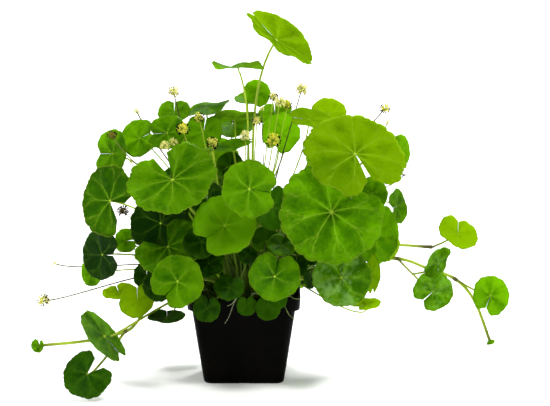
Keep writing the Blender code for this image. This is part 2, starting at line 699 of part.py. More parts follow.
def section(sides, radius, where):
    """The cross-section of a tube: a flat ring of a few points."""
    curve = bpy.data.curves.new("section", "CURVE")
    ring = curve.splines.new("POLY")
    ring.points.add(sides - 1)
    for number, knot in enumerate(ring.points):
        way = math.tau * number / sides
        knot.co = (math.cos(way) * radius * MM, math.sin(way) * radius * MM, 0, 1)
    ring.use_cyclic_u = True
    made = bpy.data.objects.new("section", curve)
    where.objects.link(made)
    return made


def tube(name, points, radius, where, sides):
    """A tube along the points, closed at both ends, as a mesh."""
    curve = bpy.data.curves.new(name, "CURVE")
    curve.dimensions = "3D"
    curve.bevel_mode = "OBJECT"
    curve.bevel_object = section(sides, radius, where)
    curve.use_fill_caps = True
    spline = curve.splines.new("POLY")
    spline.points.add(len(points) - 1)
    for knot, point in zip(spline.points, points):
        knot.co = (*(point * MM), 1)
    drawn = bpy.data.objects.new(name, curve)
    where.objects.link(drawn)
    bpy.context.view_layer.update()
    mesh = bpy.data.meshes.new_from_object(drawn.evaluated_get(bpy.context.evaluated_depsgraph_get()))
    bpy.data.objects.remove(curve.bevel_object)
    bpy.data.objects.remove(drawn)
    bpy.data.curves.remove(curve)
    bm = bmesh.new()
    bm.from_mesh(mesh)
    bpy.data.meshes.remove(mesh)
    bmesh.ops.remove_doubles(bm, verts=bm.verts, dist=0.00002)
    bmesh.ops.recalc_face_normals(bm, faces=bm.faces)
    return mesh_object(name, bm, where)


def blade(name, leaf, where):
    """A round leaf, slit to its hub: one grid, bent round the hub and folded over at the margin."""
    turns = 2 * leaf.lobes
    rings = 3 if leaf.radius > 28 else 2
    bm = bmesh.new()
    bmesh.ops.create_grid(bm, x_segments=turns, y_segments=2 * rings, size=1.0)
    corners = np.array([vert.co[:] for vert in bm.verts])
    angle = leaf.half_gape + (corners[:, 0] + 1) / 2 * (math.tau - 2 * leaf.half_gape)
    rho = 1 - np.abs(corners[:, 1])
    inner = (np.abs(corners[:, 0]) < 0.999) & (rho > 0.001) & (rho < 0.999)
    thick = np.where(inner, BLADE_THICK / 2, 0) * np.sign(corners[:, 1])
    points = leaf.surface(angle, rho) + thick[:, None] * leaf.normal
    for vert, point in zip(bm.verts, points):
        vert.co = point * MM
    # The shorter diagonal is the same on both sides, so the thin walls never cross
    bmesh.ops.triangulate(bm, faces=bm.faces, quad_method="SHORT_EDGE")
    bmesh.ops.remove_doubles(bm, verts=bm.verts, dist=0.00002)
    bmesh.ops.recalc_face_normals(bm, faces=bm.faces)
    return mesh_object(name, bm, where)


def ball(name, centre, radius, where):
    bm = bmesh.new()
    bmesh.ops.create_uvsphere(bm, u_segments=6, v_segments=3, radius=radius * MM)
    bmesh.ops.translate(bm, vec=centre * MM, verts=bm.verts)
    return mesh_object(name, bm, where)


def build_growths(canopy, parts, cutters, greens, petal):
    """One object for each node: its first blade or head, joined with its stalks and the others."""
    begun = {}
    knots = canopy.sample()[:, ::PER_STEP]
    for number, growth in enumerate(canopy.growths):
        node = growth.node
        fresh = node not in begun
        leafy = number < canopy.count
        name = node if fresh else f"{node}_{number}"
        where = parts if fresh else cutters
        if leafy:
            made = blade(name, growth, where)
        else:
            made = ball(name, growth.hub, growth.radius, where)
        points = knots[number].copy()
        if leafy:
            points[-1] += growth.normal * PETIOLE_DEEP - growth.slit * HUB_TO_PETIOLE
        if fresh:
            begun[node] = made
            made.data.materials.append(greens[number % len(greens)] if leafy else petal)
        else:
            boolean(begun[node], helper(made), "UNION")
        radius = PETIOLE_RADIUS if leafy else STALK_RADIUS
        stalk = tube(f"{name}_stalk", points, radius * 1.2, cutters, STALK_SIDES)
        boolean(begun[node], helper(stalk), "UNION")


def build_stems(canopy, parts, cutters, finish):
    for name, path in canopy.stems.items():
        stem = tube(name, path, STEM_RADIUS, parts, STEM_SIDES)
        stem.data.materials.append(finish)
        for owner, radius, turn, tilt in TIPS:
            if owner == name:
                bud = ball(f"{name}_bud", path[-1] + facing(turn, tilt) * radius * 0.2, radius, cutters)
                boolean(stem, helper(bud), "UNION")


def build():
    for thing in list(bpy.data.objects):
        bpy.data.objects.remove(thing)
    parts = collection("brazilian_pennywort")
    cutters = collection("cutters")
    canopy = Canopy()
    canopy.settle()
    build_pot(parts, cutters, material("pot_black", (0.012, 0.012, 0.013), 0.45))
    build_compost(parts, material("compost_brown", (0.035, 0.022, 0.014), 0.95))
    greens = [
        material("leaf_green", (0.09, 0.30, 0.02), 0.45),
        material("leaf_deep_green", (0.03, 0.16, 0.015), 0.45),
        material("leaf_yellow_green", (0.19, 0.40, 0.02), 0.45),
    ]
    build_growths(canopy, parts, cutters, greens, material("petal_cream", (0.75, 0.72, 0.35), 0.6))
    build_stems(canopy, parts, cutters, material("stem_green", (0.20, 0.30, 0.04), 0.5))
    return canopy


CANOPY = build()
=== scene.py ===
"""Fine surface of a Brazilian pennywort in its square nursery pot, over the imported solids.

Lengths are in millimetres until a mesh is made; the camera, floor and lights are placed in metres. The
tables and the way that blades and stalks are eased apart are those of the solids, so that every fine
blade lies where its solid does.
"""

import json
import math

import bmesh
import bpy
import numpy as np
from mathutils import Matrix, Vector, noise


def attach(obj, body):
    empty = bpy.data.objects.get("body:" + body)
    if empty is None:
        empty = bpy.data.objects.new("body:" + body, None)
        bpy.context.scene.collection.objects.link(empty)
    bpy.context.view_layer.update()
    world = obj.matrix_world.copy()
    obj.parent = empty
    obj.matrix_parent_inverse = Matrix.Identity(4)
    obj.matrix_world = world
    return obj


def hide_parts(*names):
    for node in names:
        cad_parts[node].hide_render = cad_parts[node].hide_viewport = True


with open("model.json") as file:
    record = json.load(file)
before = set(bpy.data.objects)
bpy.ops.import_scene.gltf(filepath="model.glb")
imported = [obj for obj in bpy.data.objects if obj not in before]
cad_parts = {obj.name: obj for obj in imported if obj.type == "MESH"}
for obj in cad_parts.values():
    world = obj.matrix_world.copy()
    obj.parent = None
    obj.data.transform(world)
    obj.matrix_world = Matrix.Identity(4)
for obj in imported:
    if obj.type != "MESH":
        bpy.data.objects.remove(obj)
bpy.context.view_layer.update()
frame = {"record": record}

MM = 0.001

# The line of sight that the tables are written along
SIGHT_TILT = math.radians(8)
SIGHT_LENGTH = 2000.0
SIGHT_AIM = np.array((24.2, 0.0, 137.6))
SIGHT_MIDDLE = (24.2, 141.4)
AHEAD = np.array((0.0, math.cos(SIGHT_TILT), -math.sin(SIGHT_TILT)))
LIFT = np.array((0.0, math.sin(SIGHT_TILT), math.cos(SIGHT_TILT)))
RIGHT = np.array((1.0, 0.0, 0.0))
UP = np.array((0.0, 0.0, 1.0))

# Pot and compost
POT_HEIGHT = 70.0
POT_FOOT = 62.0
POT_NECK = 80.0
POT_LIP = 88.0
LIP_DEPTH = 11.0
POT_WALL = 1.3
POT_FLOOR = 1.6
CORNER = 7.0
COMPOST_TOP = 60.0
GAP = 0.3
FOOT_HEIGHT = COMPOST_TOP + 0.7
HOLE_RADIUS = 4.0
HOLE_OUT = 17.0
NOTCH_WIDTH = 8.0
NOTCH_HEIGHT = 1.6
NOTCH_DEPTH = 6.0

# Green parts
BLADE_THICK = 0.8
PETIOLE_RADIUS = 0.75
PETIOLE_DEEP = 0.3
STEM_RADIUS = 1.3
STALK_STEPS = 4

# Leaves: node, across, up, depth, radius, turn, tilt, notch, gape.
# turn is how far the face looks to the right, tilt how far it looks up, notch the way that the slit
# runs as seen, anticlockwise from the right, and gape how wide it opens. The first row of a node has
# its foot in the compost, and the others fork from its stalk.
LEAVES = [
    ("leaf_top", 25.5, 269, 0, 33, 66, 50, 139, 10),
    ("leaf_top_flat", -6, 246, 2, 20, 0, 96, 270, 10),
    ("leaves_crown", 8, 228, 28, 11, 10, 20, 250, 12),
    ("leaves_crown", 4, 222, 38, 11, 0, 72, 90, 12),
    ("leaves_crown", 24, 212, 48, 14, -30, 52, 90, 12),
    ("leaves_crown", 29, 196, 10, 16, -22, 8, 250, 2),
    ("leaves_crown", -9, 203, 30, 17, 8, 60, 80, 10),
    ("leaf_crown_left", -26, 215, 12, 19, -63, 72, 30, 8),
    ("leaf_crown_turned", -8, 207, 8, 20, 10, 112, 270, 8),
    ("leaf_crown_slanted", -7, 189, -18, 19, -68, 76, 0, 8),
    ("leaf_shoulder_left", -33, 201, 0, 15, -10, 28, 80, 8),
    ("leaves_shoulder_left", -82, 192, -18, 15.5, -24, 22, 20, 2),
    ("leaves_shoulder_left", -60, 196, -26, 16, -15, 38, 185, 2),
    ("leaves_shoulder_left", -53, 208, 14, 13, -10, 50, 90, 10),
    ("leaf_heart", -56, 160, -78, 36, -15, 46, 120, 26),
    ("leaf_side_left_upper", -103, 180, -12, 19, -46, 12, 180, 2),
    ("leaf_side_left_middle", -105, 143, -30, 28, -40, 10, -38, 48),
    ("leaf_side_left_lower", -111, 101, -28, 20, -40, 2, 0, 10),
    ("leaves_side_left_small", -119, 87, -10, 11, -40, 5, 90, 10),
    ("leaves_side_left_small", -92, 112, -15, 10, -20, 20, 0, 10),
    ("leaf_shade_left", -65, 125, -50, 25, -20, 35, 60, 8),
    ("leaf_left_lower", -60, 109, -66, 27, -10, 42, 138, 74),
    ("leaf_left_inner", -33, 110, -78, 15, -5, 35, 90, 2),
    ("leaf_front_left", -52, 80, -92, 21, -8, 12, -130, 7),
    ("leaf_front_upper", 4, 152, -108, 23, 18, 12, -10, 8),
    ("leaf_front_middle", -15, 124, -90, 25, -5, 25, -144, 2),
    ("leaf_shade_middle", -29, 145, -62, 14, 0, 20, 90, 10),
    ("leaf_inner_right", 22, 138, -70, 18, 20, 15, 100, 8),
    ("leaf_front_large", 68.5, 134.5, -98, 41.5, 8, 10, 34, 1),
    ("leaf_shoulder_right_large", 87, 180, -92, 41, 15, 47, -62, 18),
    ("leaf_shoulder_right_back", 66, 211, -10, 14, 0, 35, 270, 2),
    ("leaf_crown_right", 51, 207, -30, 17, 10, 70, 180, 2),
    ("leaf_side_right_upper", 122, 183, -30, 12, 50, 10, 180, 2),
    ("leaves_side_right_small", 100, 149, -72, 13, 20, 20, 270, 2),
    ("leaves_side_right_small", 112, 129, -48, 14, 60, 10, 200, 2),
    ("leaf_side_right_middle", 107, 125, -52, 24, 34, 8, 200, 2),
    ("leaf_side_right_turned", 111, 109, -49, 14, 150, -10, 200, 2),
    ("leaf_front_right", 76, 83, -84, 23.5, 8, 18, 95, 1),
    ("leaves_side_right_low", 98, 86, -72, 16, 66, 2, 270, 2),
    ("leaves_side_right_low", 96, 62, -55, 11, -25, 72, 200, 2),
    ("leaf_front_lower", 24, 84, -98, 20.5, 2, 28, 78, 14),
    ("leaves_rim_left", -29, 59, -66, 11, -8, 10, 80, 12),
    ("leaves_rim_left", -12, 76, -72, 12, 0, 38, 70, 12),
    ("leaves_rim_left", -23, 89, -62, 10, -10, 20, 90, 12),
    ("leaves_rim_right", 20, 61, -62, 10, 5, 15, 100, 8),
    ("leaves_rim_right", 25, 65, -68, 8, 10, 25, 80, 8),
    ("leaves_rim_right", 2, 61, -60, 8, 0, 15, 90, 8),
    ("leaves_shade_right", 39, 110, -62, 9, 10, 20, 90, 12),
    ("leaves_shade_right", 41, 93, -68, 9, 0, 20, 90, 12),
    ("leaves_shade_right", 52, 99, -64, 7, 20, 20, 90, 14),
    ("leaves_shade_right", 51, 82, -72, 8, 50, 10, 90, 14),
    ("leaves_shade_middle", -27, 94, -76, 14, -10, 45, 0, 6),
    ("leaves_shade_middle", 3, 101, -58, 8, 0, 20, 90, 12),
    ("leaves_shade_left", -76, 85, -48, 11, -15, 20, 90, 10),
    ("leaves_shade_left", -66, 77, -60, 13, -10, 10, 90, 10),
    ("leaves_shade_left", -61, 53, -68, 15, -10, 78, 90, 2),
    ("leaf_trailing_left_upper", -109, 37.5, -98, 25, 8, 12, -50, 2),
    ("leaf_trailing_left_lower", -122.5, 8, -92, 20, -8, 28, 42, 44),
    ("leaves_pale_left", -83, 61, -58, 15, -20, 30, 90, 2),
    ("leaves_pale_left", -98, 72, -28, 13, -20, 70, 120, 8),
    ("leaf_trailing_right_upper", 167, 118, -14, 16.5, 30, 45, 85, 3),
    ("leaves_trailing_right", 147, 73, -64, 16, -5, 25, -138, 8),
    ("leaves_trailing_right", 153, 94, -58, 14, -60, 35, -100, 2),
    ("leaf_trailing_right_end", 192.5, 69, -54, 16, 22, 15, -115, 2),
    ("leaves_back_left", -57, 148, 62, 24, -140, 30, 90, 8),
    ("leaves_back_left", -64, 117, 74, 21, -140, 12, 270, 8),
    ("leaves_back_middle", -30, 175, 60, 26, -170, 40, 90, 8),
    ("leaves_back_middle", 5, 135, 85, 28, 180, 20, 60, 8),
    ("leaves_back_right", 68, 165, 50, 24, 140, 35, 100, 8),
    ("leaves_back_right", 70, 125, 85, 27, 155, 15, 200, 8),
    ("leaves_back_low", -30, 92, 95, 22, -170, 8, 270, 10),
    ("leaves_back_low", 35, 95, 95, 24, 170, 8, 0, 10),
]
# How a blade differs from the rest, by node: dish lifts its margin, sway waves it, and fold bends its
# two halves up along its slit by so many degrees
HABIT = {
    "leaf_top": dict(dish=0.05, sway=0.05, fold=8),
    "leaf_top_flat": dict(dish=0.08, sway=-0.16),
    "leaf_crown_left": dict(dish=-0.06, sway=0.08),
    "leaf_shoulder_right_large": dict(dish=-0.05, sway=0.05),
    "leaf_front_large": dict(dish=0.04, sway=0.03),
    "leaves_trailing_right": dict(dish=0.0, sway=0.07, fold=8),
    "leaf_trailing_left_upper": dict(dish=-0.04, sway=0.03, fold=-66),
    "leaf_trailing_left_lower": dict(fold=-12),
}
PLAIN_HABIT = dict(dish=0.07, sway=0.04, fold=0.0)

# Flowers: node, across, up, depth, head radius
FLOWERS = [
    ("flowers_left", -84, 213, 0, 2.8),
    ("flowers_left", -55, 228, -4, 4.3),
    ("flowers_shoulder", -48, 199, -42, 5.0),
    ("flowers_shoulder", -35, 208, -16, 4.0),
    ("flowers_shoulder", -25, 188, -44, 4.6),
    ("flowers_middle", 0, 194, -36, 4.0),
    ("flowers_middle", 10, 205, -22, 3.6),
    ("flowers_middle", 23, 190, -46, 5.4),
    ("flowers_crown", 23, 224, -8, 3.6),
    ("flowers_crown", 28, 220, -16, 4.2),
    ("flowers_crown", 34, 218, -6, 3.8),
    ("flower_tall", 45, 230, 0, 4.6),
    ("flower_right", 110, 215, -40, 3.9),
    ("flower_left_long", -156.5, 65, -60, 4.7),
    ("flower_left_small", -148, 94, 16, 2.4),
]

# Stems that leave the pot: points across, up, depth, from the compost outwards
STEMS = {
    "stem_left": [
        (-28, 60, -16), (-28, 66, -16), (-37, 79, -20), (-54, 79, -28), (-72, 64, -34), (-84, 48, -46),
        (-93, 41, -60), (-121, 34, -68), (-160, 30, -75),
    ],
    "stem_right_upper": [
        (31, 60, -6), (31, 66, -6), (39, 81, -6), (56, 95, -7), (80, 104, -10), (106, 109, -14),
        (147, 107, -18),
    ],
    "stem_right_lower": [
        (30, 60, -19), (30, 66, -19), (38, 79, -20), (55, 89, -22), (85, 96, -28), (120, 98, -34),
        (142, 91, -38), (165, 82, -40), (180, 65, -42), (192, 34, -45),
    ],
}
# Leaves that grow from a stem instead of the compost: which stem, and at which of its points
GROWS_FROM = {
    "leaf_trailing_left_lower": ("stem_left", 6),
    "leaf_trailing_right_upper": ("stem_right_upper", 6),
    "leaves_trailing_right": ("stem_right_lower", 5),
    "leaf_trailing_right_end": ("stem_right_lower", 7),
}
# Young leaf at a stem's tip: stem, radius, turn, tilt
TIPS = [("stem_left", 5.5, -20, 10), ("stem_right_lower", 3.6, 20, -40)]


def place(across, up, depth):
    """The point at this depth that shows at (across, up) from the front."""
    eye = SIGHT_AIM - SIGHT_LENGTH * AHEAD
    ray = SIGHT_LENGTH * AHEAD + (across - SIGHT_MIDDLE[0]) * RIGHT + (up - SIGHT_MIDDLE[1]) * LIFT
    return eye + ray * (depth - eye[1]) / ray[1]


def facing(turn, tilt):
    """The direction that looks so far to the right of the front and so far up."""
    turn, tilt = math.radians(turn), math.radians(tilt)
    return np.array((math.sin(turn) * math.cos(tilt), -math.cos(turn) * math.cos(tilt), math.sin(tilt)))


def slit_direction(normal, notch):
    """The direction in the blade that shows at the angle notch from the front."""
    seen = math.cos(math.radians(notch)) * RIGHT + math.sin(math.radians(notch)) * LIFT
    along = AHEAD @ normal
    if abs(along) > 0.25:
        seen = seen - AHEAD * (seen @ normal) / along
    seen = seen - normal * (seen @ normal)
    return seen / np.linalg.norm(seen)


# The margin's form in shares of its radius: how much its corners at the slit are rounded off and over
# what angle, and how deep its lobes are
CORNER_CUT = 0.28
CORNER_WIDTH = 0.25
LOBE_DEPTH = 0.025


def margin(angle, half_gape, radius, lobes):
    """How far the blade's edge is from its hub, at an angle from the middle of its slit."""
    angle = np.mod(angle, math.tau)
    side = np.minimum(angle, math.tau - angle)
    rounded = 1 - CORNER_CUT * np.exp(-(((side - half_gape) / CORNER_WIDTH) ** 2))
    round_trip = (angle - half_gape) / (math.tau - 2 * half_gape)
    return radius * rounded * (1 - LOBE_DEPTH * np.cos(round_trip * lobes * math.tau))


def relief(angle, rho, radius, dish, sway, fold, phase):
    """How far the blade stands off its plane: dished, waved, and folded along its slit."""
    waves = dish + sway * np.sin(3 * angle + phase)
    return radius * (waves * rho**2 + np.sin(fold) * rho * np.abs(np.sin(angle)))


SHAPE_KEYS = ("half_gape", "radius", "lobes", "dish", "sway", "fold", "phase")
# How many lobes a blade has when its radius is over so much
LOBES = [(28, 8), (22, 6), (11, 5), (0, 4)]
# How far the waves of one blade are turned from those of the blade before it
PHASE_STEP = 2.4


class Leaf:
    """One blade: where its hub is, how it lies, and how it is shaped."""

    def __init__(self, row, number):
        self.node, across, up, depth, radius, turn, tilt, notch, gape = row
        self.hub = place(across, up, depth)
        self.radius = radius * (1 + depth / SIGHT_LENGTH)
        self.normal = facing(turn, tilt)
        self.slit = slit_direction(self.normal, notch)
        self.half_gape = math.radians(gape) / 2
        self.lobes = next(count for least, count in LOBES if radius > least)
        self.phase = PHASE_STEP * number
        habit = {**PLAIN_HABIT, **HABIT.get(self.node, {})}
        self.dish, self.sway, self.fold = habit["dish"], habit["sway"], math.radians(habit["fold"])

    def axes(self):
        return np.array((self.slit, np.cross(self.normal, self.slit), self.normal))

    def round(self, count):
        """Angles round the hub, from one side of the slit to the other."""
        return np.linspace(self.half_gape, math.tau - self.half_gape, count)

    def local(self, angle, rho):
        """Points of the blade's middle surface, from its hub along its own axes."""
        reach = margin(angle, self.half_gape, self.radius, self.lobes) * rho
        lift = relief(angle, rho, self.radius, self.dish, self.sway, self.fold, self.phase)
        beside = reach * np.sin(angle) * np.cos(self.fold)
        return np.stack((reach * np.cos(angle), beside, lift), axis=-1)

    def surface(self, angle, rho):
        return self.hub + self.local(angle, rho) @ self.axes()


# How far from the pot's middle a head has leaned out until it faces level
HEADS_LEVEL = 160


class Flower:
    """One head: its hub, and the way its stalk comes up to it."""

    def __init__(self, row):
        self.node, across, up, depth, self.radius = row
        self.hub = place(across, up, depth)
        outward = self.hub * (1, 1, 0) / HEADS_LEVEL
        lean = outward + UP * max(1 - np.linalg.norm(outward) ** 6, 0)
        self.normal = lean / np.linalg.norm(lean)


def bernstein(t):
    """The shares of a cubic curve's four control points at t."""
    t = np.asarray(t, dtype=float)
    return np.stack(((1 - t) ** 3, 3 * (1 - t) ** 2 * t, 3 * (1 - t) * t**2, t**3), axis=-1)


def stem_path(name):
    """A stem's points in space, rising straight from the compost."""
    path = np.array([place(*point) for point in STEMS[name]])
    path[0] = (path[0][0], path[0][1], FOOT_HEIGHT)
    path[1] = path[0] + UP * 6
    return path


# How the canopy is eased apart
BLADE_CLEAR = BLADE_THICK + 1.0
BESIDE_CLEAR = 1.2
STALK_CLEAR = BLADE_THICK / 2 + PETIOLE_RADIUS + 0.7
STEM_CLEAR = STEM_RADIUS + BLADE_THICK / 2 + 0.6
HEAD_CLEAR = 1.0
STALKS_APART = 0.7
FOOT_APART = 3.6
FOOT_REACH = 33.0
ROUNDS = 170
# Clearances of blades and stalks from the pot, and of blades from the floor
BLADE_OFF_POT = 1.5
STALK_OVER_LIP = 2.0
FLOOR_CLEAR = 0.6
# Where feet stand: how far out, and how much less far for a hub that is higher than low ones by so much
FEET_OUT = 31
FEET_DRAWN_IN = 22
LOW_HUB = 80
HUB_SPAN = 160
# How far a stalk's two middle control points lie from its ends, in shares of its length
RISE_SHARE = 0.38
RISE_LEAST = 26
JOINT_RISE_SHARE = 0.3
FORK_RISE_SHARE = 0.6
REACH_SHARE = 0.27
JOINT_MOST = 8
# Shares of a push: along a blade's normal and along the line of sight, and for each thing that is moved
ALONG_NORMAL = 0.3
ALONG_SIGHT = 0.7
BLADE_SHARE = 0.3
STALK_SHARE = 0.7
OWN_BLADE_SHARE = 0.2
MET_BLADE_SHARE = 0.15
STEM_MET_SHARE = 0.6
BETWEEN_STALKS = 0.5
FEET_SHARE = 0.4
POT_SHARE = 0.6
STIFFNESS = 0.12
BEND_KEPT = 0.998
# Samples of a stalk that count as near its foot, near its hub, and near the stem that it grows from
NEAR_FOOT = 5
NEAR_HUB = 4
NEAR_STEM = 8
# Rings of spots by which blades feel each other: share of the way to the margin, and how many spots
SPOT_RINGS = [(0.0, 1), (0.4, 7), (0.75, 12), (1.0, 20)]
# Where on its node's first stalk a forked stalk begins, and the most that a thing moves in one round
FORK = 0.3
STEP_MOST = 2.5
# A stalk's samples lie on straight steps between knots on its curve
PER_STEP = 4
SAMPLES = PER_STEP * STALK_STEPS + 1
KNOTS = bernstein(np.linspace(0, 1, STALK_STEPS + 1))
ALONG = np.array(
    [[max(0.0, 1 - abs(s / PER_STEP - k)) for k in range(STALK_STEPS + 1)] for s in range(SAMPLES)]
)
WEIGHTS = ALONG @ KNOTS


class Canopy:
    """All blades and stalks as arrays in millimetres, so that they are eased apart together."""

    def __init__(self):
        self.leaves = [Leaf(row, number) for number, row in enumerate(LEAVES)]
        self.flowers = [Flower(row) for row in FLOWERS]
        self.growths = self.leaves + self.flowers
        self.stems = {name: stem_path(name) for name in STEMS}
        nodes = [growth.node for growth in self.growths]
        self.group = np.array([nodes.index(node) for node in nodes])
        self.hub = np.array([growth.hub for growth in self.growths])
        self.normal = np.array([growth.normal for growth in self.growths])
        self.measure()
        self.spots = np.array([
            np.vstack([leaf.local(leaf.round(n), np.full(n, rho)) for rho, n in SPOT_RINGS])
            for leaf in self.leaves
        ])
        self.set_feet()
        self.bend = np.zeros((len(self.growths), 2, 3))

    def measure(self):
        """The blades' axes and shapes as arrays."""
        self.count = len(self.leaves)
        self.axes = np.array([leaf.axes() for leaf in self.leaves])
        self.shape = {key: np.array([getattr(leaf, key) for leaf in self.leaves]) for key in SHAPE_KEYS}

    def set_feet(self):
        """Feet stand on the compost, high leaves near its middle, or on the stem that bears the leaf."""
        self.foot = np.zeros_like(self.hub)
        self.forked = self.group != np.arange(len(self.growths))
        self.rooted = ~self.forked
        self.start = np.tile(UP, (len(self.growths), 1))
        for i, growth in enumerate(self.growths):
            hub = self.hub[self.group == self.group[i]].mean(axis=0)
            flat = math.hypot(hub[0], hub[1])
            drawn_in = FEET_DRAWN_IN * min(max((hub[2] - LOW_HUB) / HUB_SPAN, 0), 1)
            out = min(FEET_OUT - drawn_in, flat)
            self.foot[i] = (hub[0] / flat * out, hub[1] / flat * out, FOOT_HEIGHT)
            if growth.node in GROWS_FROM:
                self.foot[i], self.start[i] = self.joint(growth)
                self.rooted[i] = False
        length = np.linalg.norm(self.hub - self.foot, axis=1)
        rooted_rise = np.maximum(RISE_SHARE * length, RISE_LEAST)
        self.rise = np.where(self.rooted, rooted_rise, JOINT_RISE_SHARE * length)
        self.reach = REACH_SHARE * length
        self.rise[self.forked] *= FORK_RISE_SHARE

    def joint(self, growth):
        """Where a leaf's stalk begins just clear of the stem that bears it, and which way it sets off."""
        name, point = GROWS_FROM[growth.node]
        path = self.stems[name]
        far = np.linalg.norm(growth.hub - path[point])
        way = growth.hub - growth.normal * JOINT_RISE_SHARE * far - path[point]
        way /= np.linalg.norm(way)
        away = STEM_RADIUS + PETIOLE_RADIUS + 2 * GAP
        for other in path[max(point - 1, 0) : point + 2 : 2]:
            along = (other - path[point]) / np.linalg.norm(other - path[point])
            if way @ along > 0:
                away = max(away, (STEM_RADIUS + PETIOLE_RADIUS + GAP) / math.sqrt(1 - (way @ along) ** 2))
        return path[point] + way * min(away, JOINT_MOST), way

    def set_forks(self):
        """A stalk that forks from its node's first stalk begins on that stalk, and heads for its hub."""
        leader = self.group[self.forked]
        at = self.controls()[leader]
        self.foot[self.forked] = np.einsum("c,mcx->mx", bernstein(FORK), at)
        way = self.hub - self.normal * self.reach[:, None] - self.foot
        way /= np.linalg.norm(way, axis=1, keepdims=True)
        self.start[self.forked] = way[self.forked]

    def controls(self):
        after = self.foot + self.start * self.rise[:, None] + self.bend[:, 0]
        before = self.hub - self.normal * self.reach[:, None] + self.bend[:, 1]
        return np.stack((self.foot, after, before, self.hub), axis=1)

    def heights(self, points):
        """Where each point lies for each blade: height over it, share of the way to its edge, and axes."""
        near = np.einsum("qnk,nak->qna", points[:, None] - self.hub[None, : self.count], self.axes)
        s = self.shape
        angle = np.arctan2(near[..., 1] / np.cos(s["fold"]), near[..., 0])
        edge = margin(angle, s["half_gape"], s["radius"], s["lobes"])
        far = np.hypot(near[..., 0], near[..., 1])
        rho = far / edge
        height = near[..., 2] - relief(
            np.mod(angle, math.tau), rho, s["radius"], s["dish"], s["sway"], s["fold"], s["phase"]
        )
        return height, far, edge, near

    def part_blades(self, move):
        """Blades that meet are pushed apart, mostly along the line of sight."""
        count = self.count
        spots = self.hub[:count, None] + np.einsum("nka,nab->nkb", self.spots, self.axes)
        each = spots.shape[1]
        height, far, edge, _ = self.heights(spots.reshape(-1, 3))
        height = height.reshape(count, each, count)
        inside = (far < edge + BESIDE_CLEAR).reshape(count, each, count)
        side = np.where((height * inside).sum(axis=1) >= 0, 1.0, -1.0)
        short = np.where(inside, BLADE_CLEAR - side[:, None] * height, -1.0).max(axis=1)
        for i, j in zip(*np.nonzero(np.tril((short > 0) & (short.T > 0), -1))):
            a, b = (i, j) if short[i, j] <= short[j, i] else (j, i)
            normal = self.axes[b, 2]
            push = ALONG_NORMAL * normal + ALONG_SIGHT * AHEAD * (AHEAD @ normal)
            push = push / (push @ normal) * side[a, b] * min(short[a, b], STEP_MOST) * BLADE_SHARE
            move[a] += push
            move[b] -= push

    def sample(self):
        return np.einsum("sc,mcx->msx", WEIGHTS, self.controls())

    def shift_stalk(self, stalk, spot, push):
        """Bends a stalk so that one of its samples moves by the push."""
        first, second = WEIGHTS[spot, 1], WEIGHTS[spot, 2]
        scale = 1 / (first**2 + second**2 + STIFFNESS)
        self.bend[stalk, 0] += push * first * scale
        self.bend[stalk, 1] += push * second * scale

    def part_stalks_from_blades(self, move):
        """Stalks that touch or cross a blade bend over or round it, and blades that meet a stem move off it.
        """
        samples = self.sample()
        stalks = len(samples)
        runs = list(samples) + list(self.stems.values())
        points = np.vstack(runs)
        begins = np.cumsum([0] + [len(run) for run in runs[:-1]])
        height, far, edge, near = self.heights(points)
        size = np.full(len(points), STALK_CLEAR)
        for k, flower in enumerate(self.flowers):
            size[(self.count + k + 1) * SAMPLES - 1] = flower.radius + HEAD_CLEAR
        size[stalks * SAMPLES :] = STEM_CLEAR
        over = far < edge + size[:, None]
        close = np.where(over, size[:, None] - np.abs(height), -1.0)
        flip = (height[:-1] * height[1:] < 0) & over[:-1] & over[1:]
        flip[begins[1:] - 1] = False
        crossed = np.zeros_like(over)
        crossed[:-1] |= flip
        crossed[1:] |= flip
        touching = (np.maximum.reduceat(close, begins, axis=0) > 0) | np.logical_or.reduceat(
            crossed, begins, axis=0
        )
        np.fill_diagonal(touching[: self.count], False)
        for run, j in zip(*np.nonzero(touching)):
            spots = slice(begins[run], begins[run] + len(runs[run]))
            normal = self.axes[j, 2]
            passing = np.flatnonzero(crossed[spots, j])
            if len(passing):
                passing += begins[run]
                q = passing[np.argmax(far[passing, j] / edge[passing, j])]
            else:
                q = begins[run] + int(np.argmax(close[spots, j]))
            outward = near[q, j, 0] * self.axes[j, 0] + near[q, j, 1] * self.axes[j, 1]
            outward = outward / max(far[q, j], 0.1)
            out = edge[q, j] + size[q] - far[q, j]
            if len(passing) or out < close[q, j]:
                push = outward * min(out, STEP_MOST)
            else:
                push = normal * math.copysign(min(close[q, j], STEP_MOST), height[q, j])
            if run < stalks:
                spot = q - begins[run]
                self.shift_stalk(run, spot, push * STALK_SHARE)
                if spot >= SAMPLES - NEAR_HUB:
                    move[run] += push * OWN_BLADE_SHARE
                move[j] -= push * MET_BLADE_SHARE
            else:
                move[j] -= push * STEM_MET_SHARE

